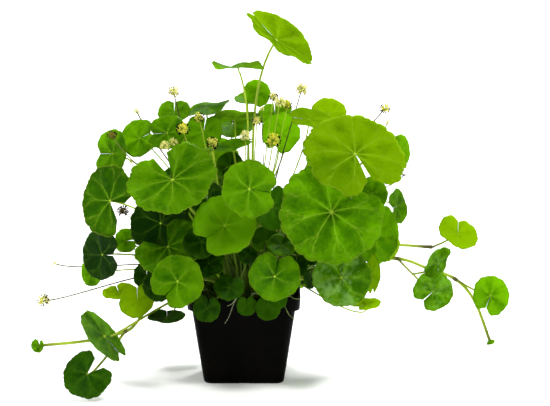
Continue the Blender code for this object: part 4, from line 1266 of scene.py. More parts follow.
def stalk_finish():
    """Juicy stalk: yellow-green, darker low inside the plant as painted shade, flushed brown at joints by the
    tint it carries, with fine lines.
    """
    s = Surface("stalk_skin")
    place = s.place()
    tint = s.carried("tint")
    streaks = s.noise(place, 900.0, 2.0, 0.5)
    patches = s.noise(place, 160.0, 2.0, 0.5)
    across, back, height = s.parts(place)
    out = s.math("SQRT", across ** 2.0 + back ** 2.0)
    # Painted shade: stalks low inside the plant, above the compost, are darkened
    painted_shade = s.ramp(height, 0.15, 0.1) * s.ramp(out, 0.085, 0.055)
    bright = s.mix(s.clamp(patches * 1.6 - 0.3), STALK_GREEN, STALK_YELLOW)
    green = s.mix(painted_shade * 0.86, bright, STALK_PAINTED_SHADE)
    bleached = s.mix(s.clamp(tint * -1.0), green, ROOT_WHITE)
    flush = tint * 1.2 + s.ramp(tint, 0.0, 0.1) * (patches - 0.5) * 0.4
    flushed = s.mix(s.clamp(flush), bleached, STALK_BROWN)
    colour = s.mix(streaks * 0.15, flushed, STALK_LINES)
    normal = s.bump(streaks, 0.0003, 0.3)
    rough = 0.38 + patches * 0.2
    return s.finish(s.principled(Base_Color=colour, Roughness=rough, Normal=normal, Specular_IOR_Level=0.15))


FLORET_STALK = (0.3, 0.44, 0.02, 1)
FLORET_YOUNG = (0.8, 0.78, 0.3, 1)
FLORET_OLD = (0.68, 0.64, 0.05, 1)
FLORET_PALE = (0.92, 0.88, 0.5, 1)
FLORET_SPENT = (0.14, 0.1, 0.015, 1)
ANTHER = (0.006, 0.003, 0.002, 1)


def flower_finish():
    """A head's florets: green stalks, cream petals and threads, and anthers that darken with age."""
    s = Surface("flower_flesh")
    tissue, age, ring = s.carried("tissue"), s.carried("age"), s.carried("ring")
    grain = s.noise(s.place(), 1400.0, 2.0, 0.5)
    cream = s.mix(s.clamp(age), FLORET_YOUNG, FLORET_OLD)
    spent = s.ramp(age, 1.1, 1.5)
    fresh = s.mix(s.ramp(tissue, 0.3, 0.45), FLORET_STALK, s.mix(grain * 0.15, cream, FLORET_PALE))
    petals = s.mix(spent, fresh, FLORET_SPENT)
    anthers = s.mix(s.clamp(s.ramp(age * ring, 0.3, 0.6) + spent), cream, ANTHER)
    colour = s.mix(s.ramp(tissue, 0.85, 0.95), petals, anthers)
    return s.finish(s.principled(Base_Color=colour, Roughness=0.55 + grain * 0.2, Specular_IOR_Level=0.02))


VEIN = (0.3, 0.46, 0.03, 1)
SHADED_VEIN = (0.11, 0.23, 0.012, 1)
# Colour of the painted sheen, a reflection painted on some blades
PAINTED_SHEEN_COLOUR = (0.36, 0.44, 0.26, 1)
# Lighter and darker copies of one leaf finish for the solids' slots: pale_leaf paints the light through
# backlit blades, and dark_leaf, with its shaded vein, paints the shade on blades in shade
LEAF_LOOKS = {
    "pale_leaf": dict(
        deep=(0.014, 0.06, 0.0005, 1), middle=(0.045, 0.13, 0.0006, 1), light=(0.11, 0.22, 0.001, 1),
        vein=VEIN, through=(0.6, 0.8, 0.003, 1), share_through=0.5, gloss=0.0,
    ),
    "leaf": dict(
        deep=(0.008, 0.045, 0.0004, 1), middle=(0.028, 0.1, 0.0005, 1), light=(0.09, 0.2, 0.001, 1),
        vein=VEIN, through=(0.46, 0.78, 0.003, 1), share_through=0.5, gloss=0.012,
    ),
    "dark_leaf": dict(
        deep=(0.003, 0.018, 0.0003, 1), middle=(0.01, 0.042, 0.0004, 1), light=(0.03, 0.095, 0.001, 1),
        vein=SHADED_VEIN, through=(0.22, 0.5, 0.002, 1), share_through=0.36, gloss=0.03,
    ),
}
LEAF_FINISHES = {slot: leaf_finish(f"{slot}_skin", **look) for slot, look in LEAF_LOOKS.items()}
STALK_FINISH = stalk_finish()
FLOWER_FINISH = flower_finish()
GROWTH = growth_tree()
UMBEL = umbel_tree()

SLOT_OF = {part["node"]: part["material_slot"] for part in frame["record"]["subparts"]}

# How far each head has faded, in the order of the flowers' table
AGES = [0.1, 0.48, 1.0, 0.8, 0.8, 0.15, 0.7, 1.0, 1.0, 0.2, 1.0, 0.35, 0.9, 0.55, 0.1]
# Heads whose stalks are flushed brown
BROWN_STALKS = ("flower_tall", "flowers_left", "flower_right", "flower_left_long", "flower_left_small")
BROWN, SLIGHTLY_BROWN, HARDLY_BROWN = 0.85, 0.3, 0.05
# Florets of a small head and of a large one, and the radius between the two
FEW_FLORETS, MANY_FLORETS, LARGE_HEAD = 10.0, 16.0, 3.5
# Which way a head's middle faces beside its normal: least and most turn, tilt, and how strongly
HEAD_TURNS = (-35, 35)
HEAD_TILT = 15
HEAD_FRONT = 1.6

# Slits whose half angle is under this keep only this share of it on the fine blades
NARROW_HALF_GAPE = math.radians(11)
GAPE_KEPT = 0.45
# How far the tones of a node's blades stray, and the seed of all that strays on blades and heads
TONE_STRAY = 0.08
LOOKS_SEED = 7


def dress(leaf, tone, bloom=0.0):
    """Gives a leaf what its fine blade needs beyond its solid's measures."""
    leaf.tone, leaf.bloom = tone, bloom
    leaf.beside = np.cross(leaf.normal, leaf.slit)
    return leaf


def free_leaf(hub, radius, turn, tilt, notch, gape, number):
    """A leaf whose hub is at a point, and not on a line of sight."""
    leaf = Leaf(("free", 0, 0, 0, radius, turn, tilt, notch, gape), number)
    leaf.hub, leaf.radius = hub, radius
    return leaf


def finish_head(flower, age, brown):
    """Gives a head its age, the tint of its stalk and the way in which its middle florets face."""
    flower.age, flower.phase, flower.brown = age, looks_draws.uniform(0, math.tau), brown
    flower.florets = FEW_FLORETS if flower.radius < LARGE_HEAD else MANY_FLORETS
    flower.axis = flower.normal + facing(looks_draws.uniform(*HEAD_TURNS), HEAD_TILT) * HEAD_FRONT
    flower.axis /= np.linalg.norm(flower.axis)


def finish_canopy():
    """Gives every leaf its tone and its painted sheen, and every head its age."""
    for leaf in canopy.leaves:
        tone = TONES.get(leaf.node, PLAIN_TONE) + looks_draws.uniform(-TONE_STRAY, TONE_STRAY)
        dress(leaf, tone, PAINTED_SHEENS.get(leaf.node, 0.0))
        if leaf.half_gape < NARROW_HALF_GAPE:
            leaf.half_gape *= GAPE_KEPT
    for flower, age in zip(canopy.flowers, AGES):
        finish_head(flower, age, BROWN if flower.node in BROWN_STALKS else HARDLY_BROWN)


def by_node(growths, corners):
    """For each node in turn, its leaves or heads with the control points of their stalks."""
    for node in dict.fromkeys(growth.node for growth in growths):
        yield node, [(growth, four) for growth, four in zip(growths, corners) if growth.node == node]


# A stalk's radius for leaves whose radius is over so much, its share at the foot and how much less it is
# at the top, and how brown the foot is over what share of the stalk
STALK_RADII = [(32, 1.0), (18, 0.78), (0, 0.62)]
STALK_AT_FOOT, STALK_TAPER = 1.12, 0.24
FOOT_BROWN, FOOT_SPAN = 0.25, 0.05


def stalk_strand(corners, thick, tint=0.0):
    """A smooth stalk along four control points, a little thicker at its foot, up to the blade or head."""
    t = np.linspace(0, 1, STALK_RUN)
    radii = thick * (STALK_AT_FOOT - STALK_TAPER * t)
    return Strand(bernstein(t) @ corners, radii, tint + FOOT_BROWN * np.exp(-((t / FOOT_SPAN) ** 2)))


def stalk_thickness(leaf):
    return next(radius for least, radius in STALK_RADII if leaf.radius > least)


def leafy_piece(name, leaves, strands, slot, finish, *nodes):
    """One piece of blades with a leaf's finish and of round stalks."""
    around, rings = blade_grid(leaves)
    mesh = grown(
        name, GROWTH, starting_mesh(name, leaves, "is_blade", BLADE_NUMBERS, BLADE_VECTORS, strands),
        dict(Around=around, Rings=rings, Round=STALK_ROUND, Blade=LEAF_FINISHES[finish], Stalk=STALK_FINISH),
    )
    declare(linked(name, mesh), slot, *nodes)


# Where a stalk leaves a trailing stem: how much thicker and how brown it is
JOINT_SWELL = 1.25
JOINT_BROWN = 0.9
# How much thicker and browner the stalks of trailing leaves are
TRAILING_THICKER = 0.15
TRAILING_BROWN = 0.35


def from_stem(strand, stem, joint):
    """The stalk carried back into the joint of the stem that it grows from."""
    points = np.vstack([canopy.stems[stem][joint], strand.points])
    thick = np.append(JOINT_SWELL * strand.thick[0], strand.thick)
    return Strand(points, thick, np.append(JOINT_BROWN, strand.tint))


def make_leaves():
    """The blades of the solids' nodes, each with its stalk up to just inside it."""
    for node, members in by_node(canopy.leaves, canopy.controls()):
        trails = "trailing" in node
        strands = []
        for leaf, four in members:
            four = np.vstack((four[:3], leaf.hub - leaf.normal * PETIOLE_DEEP))
            thick = stalk_thickness(leaf) + TRAILING_THICKER * trails
            strands.append(stalk_strand(four, thick, TRAILING_BROWN * trails))
        if node in GROWS_FROM:
            strands[0] = from_stem(strands[0], *GROWS_FROM[node])
        leaves = [leaf for leaf, _ in members]
        leafy_piece(f"{node}_fine", leaves, strands, SLOT_OF[node], SLOT_OF[node], node)


# A floret's parts in shares of its length: start and end as out and up, radius at each, sides, and the
# tissue, which runs from green stalk at 0 over petals at 0.5 to anthers at 1
STALK_AND_OVARY = [
    ((0, 0.05), (0, 0.45), (0.05, 0.06), 3, 0.1),
    ((0, 0.42), (0, 0.56), (0.06, 0.15), 5, 0.25),
]
PETAL = [((0.03, 0.54), (0.26, 0.7), (0.14, 0.03), 3, 0.55)]
THREAD_AND_ANTHER = [
    ((0.05, 0.6), (0.2, 1.0), (0.022, 0.022), 3, 0.7),
    ((0.2, 0.9), (0.2, 1.1), (0.15, 0.11), 4, 1.0),
]
PETALS = 5


def add_parts(bm, layer, parts, turn=0.0):
    """Closed cones, each between two points at this turn round the floret's axis."""
    out = Vector((math.cos(turn), math.sin(turn), 0))
    for start, end, (thick, tip_thick), sides, tissue in parts:
        start, end = (out * across + Vector((0, 0, up)) for across, up in (start, end))
        way = end - start
        spin = way.to_track_quat("Z", "Y").to_matrix().to_4x4()
        made = bmesh.ops.create_cone(
            bm, cap_ends=True, segments=sides, radius1=thick, radius2=tip_thick, depth=way.length,
            matrix=Matrix.Translation((start + end) / 2) @ spin,
        )
        for vert in made["verts"]:
            vert[layer] = tissue


def make_floret():
    """One floret along +Z, as long as its head's radius, with a thread at every other gap of its petals."""
    bm = bmesh.new()
    layer = bm.verts.layers.float.new("tissue")
    add_parts(bm, layer, STALK_AND_OVARY)
    for k in range(PETALS):
        turn = math.tau * k / PETALS
        add_parts(bm, layer, PETAL, turn)
        if k % 2 == 0:
            add_parts(bm, layer, THREAD_AND_ANTHER, turn + math.pi / PETALS)
    return linked("floret", mesh_of(bm, "floret"))


def flowering_piece(name, heads, strands, *nodes):
    """One piece of flower heads and their stalks."""
    floret = make_floret()
    mesh = grown(
        name, UMBEL, starting_mesh(name, heads, "is_head", HEAD_NUMBERS, HEAD_VECTORS, strands),
        dict(
            Floret=floret, Round=HEAD_STALK_ROUND, Seed=UMBEL_SEED, Flower=FLOWER_FINISH, Stalk=STALK_FINISH
        ),
    )
    bpy.data.objects.remove(floret)
    declare(linked(name, mesh), "flower", *nodes)


# Radii of the heads' stalks
BROWN_STALK, GREEN_STALK, SMALL_STALK = 0.58, 0.48, 0.42


def make_flowers():
    """The heads of the solids' nodes with their stalks."""
    for node, members in by_node(canopy.flowers, canopy.controls()[canopy.count :]):
        strands = []
        for head, four in members:
            thick = BROWN_STALK if head.brown == BROWN else GREEN_STALK
            strands.append(stalk_strand(four, thick, head.brown))
        flowering_piece(f"{node}_fine", [head for head, _ in members], strands, node)


# Young leaves at the stems' tips: slit, number, tone, how their margin lifts and how far they are folded
SPROUT_NOTCH, SPROUT_GAPE = 80, 16
SPROUT_NUMBER = 80
SPROUT_TONE = 0.4
SPROUT_DISH = 0.35
SPROUT_FOLD = 0.25
# A trailing stem in shares of its radius, its tint, and how far its joints and its tip change either
STEM_SHARE, JOINT_SWOLLEN = 0.92, 0.35
STEM_TINT, JOINT_TINT, TIP_TINT = 0.12, 0.9, 0.6
JOINT_SPAN, TIP_SPAN = 0.12, 0.3


def make_stems():
    """Trailing stems, swollen and brown where leaves grow from them, with a young leaf at some tips."""
    joints = {name: [] for name in canopy.stems}
    for name, point in GROWS_FROM.values():
        joints[name].append(point)
    for name, path in canopy.stems.items():
        points = smooth_path(path, STEM_RUN)
        along = np.arange(len(points)) / STEM_RUN
        swell = sum(np.exp(-(((along - joint) / JOINT_SPAN) ** 2)) for joint in joints[name])
        tip = np.exp(-(((along - along[-1]) / TIP_SPAN) ** 2))
        tint = STEM_TINT + JOINT_TINT * swell + TIP_TINT * tip
        strands = [Strand(points, STEM_RADIUS * (STEM_SHARE + JOINT_SWOLLEN * swell), tint)]
        sprouts = []
        for owner, radius, turn, tilt in TIPS:
            if owner == name:
                sprout = free_leaf(
                    path[-1], radius, turn, tilt, SPROUT_NOTCH, SPROUT_GAPE, SPROUT_NUMBER
                )
                sprout.dish, sprout.fold = SPROUT_DISH, SPROUT_FOLD
                sprouts.append(dress(sprout, SPROUT_TONE))
        leafy_piece(f"{name}_fine", sprouts, strands, "stem", "leaf", name)


# The pot's finer shape: how round its foot is, the steps of its corners, and the angle of a sharp edge
FOOT_ROUND = 2.4
POT_CORNER_STEPS = 8
COMPOST_CORNER_STEPS = 12
SHARP_EDGE = math.radians(35)
HOLE_SIDES = 32
NOTCH_SIDES = 24


def square_ring(width, corner, per_corner):
    """The outline of a rounded square, in order round the middle."""
    half = width / 2 - corner
    outline = []
    for quarter, (side_x, side_y) in enumerate(((1, 1), (-1, 1), (-1, -1), (1, -1))):
        for k in range(per_corner + 1):
            angle = math.pi / 2 * (quarter + k / per_corner)
            x, y = corner * math.cos(angle), corner * math.sin(angle)
            outline.append((half * side_x + x, half * side_y + y))
    return outline


def lofted(name, profile, per_corner):
    """A closed shell of rounded squares: width, height and corner of each, from the first cap to the last."""
    bm = bmesh.new()
    rings = [
        [bm.verts.new((x * MM, y * MM, height * MM)) for x, y in square_ring(width, corner, per_corner)]
        for width, height, corner in profile
    ]
    for lower, upper in zip(rings, rings[1:]):
        for k in range(len(lower)):
            after = (k + 1) % len(lower)
            bm.faces.new((lower[k], lower[after], upper[after], upper[k]))
    bm.faces.new(rings[0][::-1])
    bm.faces.new(rings[-1])
    bmesh.ops.recalc_face_normals(bm, faces=bm.faces)
    return mesh_of(bm, name)


def wall_at(height):
    """Outer width of the pot's wall at this height."""
    return POT_FOOT + (POT_NECK - POT_FOOT) * height / (POT_HEIGHT - LIP_DEPTH)


def pot_profile():
    """Rounded foot, tapered wall, stepped lip with a rolled rim, and the same wall again inside."""
    rows = []
    for a in np.linspace(0, math.pi / 2, 5):
        inset = FOOT_ROUND * (1 - math.sin(a))
        height = FOOT_ROUND * (1 - math.cos(a))
        rows.append((wall_at(height) - 2 * inset, height, CORNER - inset))
    step = POT_HEIGHT - LIP_DEPTH
    inside = 2 * POT_WALL
    rows += [(wall_at(h), h, CORNER) for h in np.linspace(8, step - 1.2, 7)]
    rows += [
        (wall_at(step - 0.4), step - 0.4, CORNER),
        (wall_at(step) + 0.8, step, CORNER + 0.4),
        (POT_LIP - 2.2, step + 0.3, CORNER + 2),
        (POT_LIP - 1.1, step + 1.2, CORNER + 2.6),
    ]
    roll = POT_WALL / 2
    for a in np.linspace(0, math.pi, 7):
        out = POT_LIP - 2 * roll + 2 * roll * math.cos(a)
        rows.append((out, POT_HEIGHT - roll + roll * math.sin(a), CORNER + 3 - roll + roll * math.cos(a)))
    rows += [
        (POT_LIP - 1.1 - inside, step + 2.6, CORNER + 1.4),
        (POT_LIP - 2.4 - inside, step + 1.7, CORNER + 0.8),
        (wall_at(step) - inside + 0.6, step + 1.3, CORNER - POT_WALL),
    ]
    rows += [(wall_at(h) - inside, h, CORNER - POT_WALL) for h in np.linspace(step, POT_FLOOR + 1.5, 5)]
    return rows + [(wall_at(POT_FLOOR) - inside - 1.4, POT_FLOOR, CORNER - POT_WALL - 0.7)]


def cut(target, bm):
    """Takes a helper's shape away from a piece and leaves a plain mesh."""
    helper = linked("helper", mesh_of(bm, "helper"))
    step = target.modifiers.new("opening", "BOOLEAN")
    step.operation = "DIFFERENCE"
    step.object = helper
    target.data = applied(target)
    target.modifiers.clear()
    bpy.data.objects.remove(helper)


def rod(bm, sides, radius, length, matrix):
    """A closed cylinder."""
    bmesh.ops.create_cone(
        bm, cap_ends=True, segments=sides, radius1=radius * MM, radius2=radius * MM, depth=length * MM,
        matrix=matrix,
    )


def make_pot():
    """The moulded pot, with four drain holes and a notch in the middle of each foot edge."""
    pot = linked("nursery_pot", lofted("nursery_pot", pot_profile(), POT_CORNER_STEPS))
    openings = bmesh.new()
    for x in (-HOLE_OUT, HOLE_OUT):
        for y in (-HOLE_OUT, HOLE_OUT):
            rod(openings, HOLE_SIDES, HOLE_RADIUS, 4 * POT_FLOOR, Matrix.Translation((x * MM, y * MM, 0)))
    flattened = Matrix.Scale(NOTCH_HEIGHT * 2 / NOTCH_WIDTH, 4, (0, 0, 1))
    for quarter in range(4):
        way = Matrix.Rotation(quarter * math.pi / 2, 4, "Z") @ Matrix.Translation((0, POT_FOOT / 2 * MM, 0))
        lying = way @ flattened @ Matrix.Rotation(math.pi / 2, 4, "X")
        rod(openings, NOTCH_SIDES, NOTCH_WIDTH / 2, NOTCH_DEPTH, lying)
    cut(pot, openings)
    pot.data.materials.clear()
    pot.data.materials.append(pot_finish())
    pot.data.shade_smooth()
    pot.data.set_sharp_from_angle(angle=SHARP_EDGE)
    declare(pot, "pot", "pot")


POT_BLACK = (0.0004, 0.0005, 0.0003, 1)
POT_DUST = (0.005, 0.0035, 0.0015, 1)
POT_SCUFF = (0.02, 0.017, 0.012, 1)
PEAT_DARK = (0.006, 0.0035, 0.002, 1)
PEAT_BROWN = (0.05, 0.028, 0.014, 1)
PEAT_FIBRE = (0.16, 0.095, 0.045, 1)


def pot_finish():
    """Black moulded plastic: satin, with fine grain, a film of dust towards its foot and small scuffs."""
    s = Surface("black_plastic")
    place = s.place()
    _, _, height = s.parts(place)
    grain = s.noise(place, 2600.0, 2.0, 0.6)
    clouds = s.noise(place, 34.0, 4.0, 0.6, 0.6)
    streaks = s.noise(s.stretched(place, (90.0, 90.0, 9.0)), 1.0, 3.0, 0.6)
    scuff = s.ramp(s.noise(s.stretched(place, (260.0, 260.0, 900.0)), 1.0, 2.0, 0.5), 0.68, 0.8)
    dust = s.clamp(s.ramp(clouds, 0.42, 0.75) * 0.55 + s.ramp(streaks, 0.5, 0.8) * 0.35)
    dust = dust * (0.35 + s.ramp(height, 0.05, 0.0) * 0.5)
    dusty = s.mix(dust, POT_BLACK, POT_DUST)
    colour = s.mix(scuff * 0.15, dusty, POT_SCUFF)
    rough = 0.36 + dust * 0.45 + (grain - 0.5) * 0.08 + scuff * 0.15
    normal = s.bump(grain * 0.25 + clouds * 0.5 - scuff * 0.3, 0.0003, 0.4)
    return s.finish(s.principled(Base_Color=colour, Roughness=rough, Normal=normal, Specular_IOR_Level=0.025))


def compost_finish():
    """Damp dark peat with lighter fibres and grit."""
    s = Surface("peat")
    place = s.place()
    lumps = s.noise(place, 260.0, 4.0, 0.65)
    grit = s.noise(place, 1500.0, 2.0, 0.6)
    fibre = s.ramp(s.noise(s.stretched(place, (400.0, 1500.0, 700.0)), 1.0, 2.0, 0.5, 1.2), 0.64, 0.72)
    damp = s.mix(lumps, PEAT_DARK, PEAT_BROWN)
    colour = s.mix(fibre * 0.6 + s.ramp(grit, 0.66, 0.76) * 0.4, damp, PEAT_FIBRE)
    normal = s.bump(lumps + grit * 0.4, 0.0012, 0.8)
    return s.finish(s.principled(Base_Color=colour, Roughness=0.85 - fibre * 0.15, Normal=normal))


# Crumbs: how many, their radii, the roughness of their shape, how fine it is, and how flat they are
CRUMBS = 1500
CRUMB_SIZES = (0.35, 1.5)
CRUMB_CORE, CRUMB_ROUGH, CRUMB_FINE, CRUMB_FLAT = 0.75, 0.35, 3.1, 0.7
CRUMB_SEED = 11
CRUMB_TURN_SEED = 5
LEAST_UPWARD = 0.4
# The compost's top: how far it lies below the height that it has at the wall, the height and size of
# its lumps, how far they lie below the rest, and the rings that it is made of
BED_SUNK = 1.2
BED_EDGE_SUNK = 2.5
BED_LUMPS, BED_LUMPS_SCALE = 1.6, 90.0
BED_LOW = 0.6
BED_RINGS = 26


def crumb_tree():
    """Scatters crumbs over the upward faces of a block."""
    nodes, given, close = geometry_tree(
        "scatter_crumbs", Crumb="Object", Count="Float", Seed="Int", Peat="Material"
    )
    _, _, up = nodes.parts(nodes.first("GeometryNodeInputNormal"))
    top = nodes.math("GREATER_THAN", up, LEAST_UPWARD)
    spots = nodes.first(
        "GeometryNodeDistributePointsOnFaces",
        inputs={0: given["Geometry"], "Selection": top, "Density": given["Count"], "Seed": given["Seed"]},
    )
    least, most = CRUMB_SIZES
    size = nodes.random(least * MM, most * MM, given["Seed"])
    turn = nodes.random((0.0,) * 3, (math.tau,) * 3, CRUMB_TURN_SEED)
    crumbs = nodes.planted(spots, nodes.shape_of(given["Crumb"]), Rotation=turn, Scale=size)
    return close(nodes.paint(joined(nodes, given["Geometry"], crumbs), given["Peat"]))


def make_crumb():
    """A small flattened lump."""
    bm = bmesh.new()
    bmesh.ops.create_icosphere(bm, subdivisions=1, radius=1.0)
    for vert in bm.verts:
        vert.co *= CRUMB_CORE + CRUMB_ROUGH * noise.noise(vert.co * CRUMB_FINE)
        vert.co.z *= CRUMB_FLAT
    return linked("crumb", mesh_of(bm, "crumb"))


def make_compost():
    """A bed that fills the pot, lumpy on top, with loose crumbs scattered over it."""
    inner = 2 * (POT_WALL + GAP)
    corner = CORNER - POT_WALL - GAP
    heights = (POT_FLOOR + GAP, COMPOST_TOP / 2, COMPOST_TOP - BED_EDGE_SUNK)
    side = [(wall_at(h) - inner, h, corner) for h in heights]
    edge = wall_at(COMPOST_TOP) - inner
    shares = np.linspace(1, 0.03, BED_RINGS)
    top = [(edge * share, COMPOST_TOP - BED_SUNK, max(0.3, corner * share)) for share in shares]
    mesh = lofted("compost_bed", side + top, COMPOST_CORNER_STEPS)
    for vert in mesh.vertices:
        if vert.co.z > (COMPOST_TOP - 2) * MM:
            lump = noise.fractal(vert.co * BED_LUMPS_SCALE, 0.9, 2.1, 3)
            vert.co.z += (lump * BED_LUMPS - BED_LOW) * MM
    crumb = make_crumb()
    made = grown(
        "compost_bed", crumb_tree(), mesh,
        dict(Crumb=crumb, Count=CRUMBS / (edge * MM) ** 2, Seed=CRUMB_SEED, Peat=compost_finish()),
    )
    bpy.data.objects.remove(crumb)
    declare(linked("compost_bed", made), "compost", "compost")


# Fine roots over the rim: thickness, tint and points across, up and depth
ROOTS = [
    (0.22, -0.6, [(-3, 60, -38), (-4, 68.5, -42), (-5, 67.6, -45), (-8.1, 62.5, -45.6), (-11.7, 52.7, -44.2),
                  (-15.2, 46.9, -43.4)]),
    (0.42, -0.4, [(-4, 60, -38), (-5, 68.3, -42), (-6, 67, -45), (-9.5, 62.6, -45.7), (-13.3, 60.9, -45.8)]),
    (0.5, -0.1, [(27, 60, -37), (28, 68.3, -42), (29, 67.3, -45.2), (30.9, 63.3, -45.6), (34.8, 54.7, -45.2),
                 (39.1, 50.8, -42.6)]),
    (0.4, -0.2, [(30, 62, -36), (35, 68.6, -42), (38.3, 67.2, -45.2), (43, 66.6, -45.4), (46.9, 69.2, -40)]),
    (0.3, -0.6, [(5, 62, -38), (6, 70, -42), (8.6, 70.6, -43.6), (11.7, 70.4, -44)]),
]
ROOT_RUN = 8
ROOT_AT_START, ROOT_TAPER = 1.1, 0.75


def make_roots():
    """Fine roots that hang over the rim, each thinner towards its end."""
    strands = []
    for thick, tint, points in ROOTS:
        path = smooth_path([place(*point) for point in points], ROOT_RUN)
        share = np.linspace(0, 1, len(path))
        strands.append(Strand(path, thick * (ROOT_AT_START - ROOT_TAPER * share), tint))
    leafy_piece("rim_roots", [], strands, "stem", "leaf")


# Extra leaves behind the outer ones: how many are tried and kept, their sizes, and the dome they fill
FILL_TRIES = 3000
FILL_MOST = 84
FILL_RADII = (8.5, 16.0)
FILL_MIDDLE = np.array((-4.0, 6.0, 92.0))
FILL_REACH = np.array((106.0, 86.0, 116.0))
FILL_CLEAR = 2.2
FILL_SEED = 21
BURIED_FOOT = COMPOST_TOP - 0.5
FINE_STEPS = np.linspace(0.0, 0.97, 48)
# How far inner blades keep from lines and how far beside their margins, from the lip and from the floor,
# and the rings and spots that this is felt by
LINE_CLEAR, LINE_BESIDE = 1.2, 1.0
FILL_BESIDE = 1.5
FILL_OVER_LIP, FILL_OFF_LIP = 4, 3
FILL_LOWEST = 14
FELT_RINGS, FELT_SPOTS = (0.02, 0.4, 0.75, 1.0), 18
SEEN_SPOTS = 16
# A blade hides what lies so far behind it, within a share of its margin
BEHIND, COVER_SHARE = 3, 0.92
# How inner leaves lean out, face up and stray, how far out in the dome they may be, how their stalks
# sway, and how far out their feet stand
FILL_LEAN, FILL_UPWARD, FILL_STRAY = (0.3, 1.0), 0.7, 0.2
FILL_DEPTHS = (0.25, 1.0)
FILL_SWAY = 9
FILL_FEET, INNER_FEET = (0.2, 0.9), 0.5
INNER_GAPE = 8
# Tone of the leaves placed inside, kept deep as painted shade, and the tones that the scattered ones range
# over
INNER_TONE = 0.12
INNER_TONES = (0.15, 0.6)
# Inner leaves whose hubs are lower than this take the darker leaf finish as painted shade
SHADE_HEIGHT = 112
# Where inner leaves may show from the front: least and most across, least and most up
INNER_WINDOWS = [(9, 47, 95, 118), (-6, 8, 87, 106), (-22, -1, 68, 83), (-41, -12, 81, 101)]


# Inner leaves, tried at several depths: across, up, depth, radius, turn, tilt
INNER_LEAVES = [
    (-11, 171, 6, 11, -15, 25), (-15, 158, 0, 12, 15, 35), (-24, 91, -50, 12, -5, 20),
    (1, 97, -40, 11, 0, 25), (17, 112, -40, 12, 10, 30), (32, 104, -45, 12, 15, 20),
    (42, 113, -40, 10, 20, 35), (-10, 75, -46, 10, 0, 25), (8, 86, -45, 10, 5, 15),
    (24, 96, -30, 12, 0, 25), (-6, 112, -30, 12, -10, 40), (-38, 88, -45, 11, -20, 25),
    (2, 84, 34, 17, 0, 15), (-20, 84, 44, 16, -10, 15), (23, 86, 44, 16, 10, 15),
    (40, 92, 36, 16, 15, 15), (-40, 94, 36, 16, -15, 15), (2, 108, 42, 17, 0, 20),
    (25, 118, 34, 15, 10, 20), (-25, 114, 34, 16, -10, 20), (-44, 132, 8, 14, -10, 25),
    (-50, 140, 20, 14, -15, 25), (27, 122, 14, 14, 10, 25), (3, 96, -20, 13, 0, 10),
    (-14, 96, -22, 13, -5, 10), (13, 78, -30, 11, 0, 10), (-3, 88, 10, 14, 0, 10),
    (33, 80, 10, 13, 10, 10),
]
DEPTHS_TRIED = (0, -6, 6, -12, 12, -20, 20, 30, 40)


def away_from_middle(point):
    """The level direction from the pot's middle to a point, shorter for one close to the middle."""
    return point * (1, 1, 0) / max(math.hypot(point[0], point[1]), 1.0)


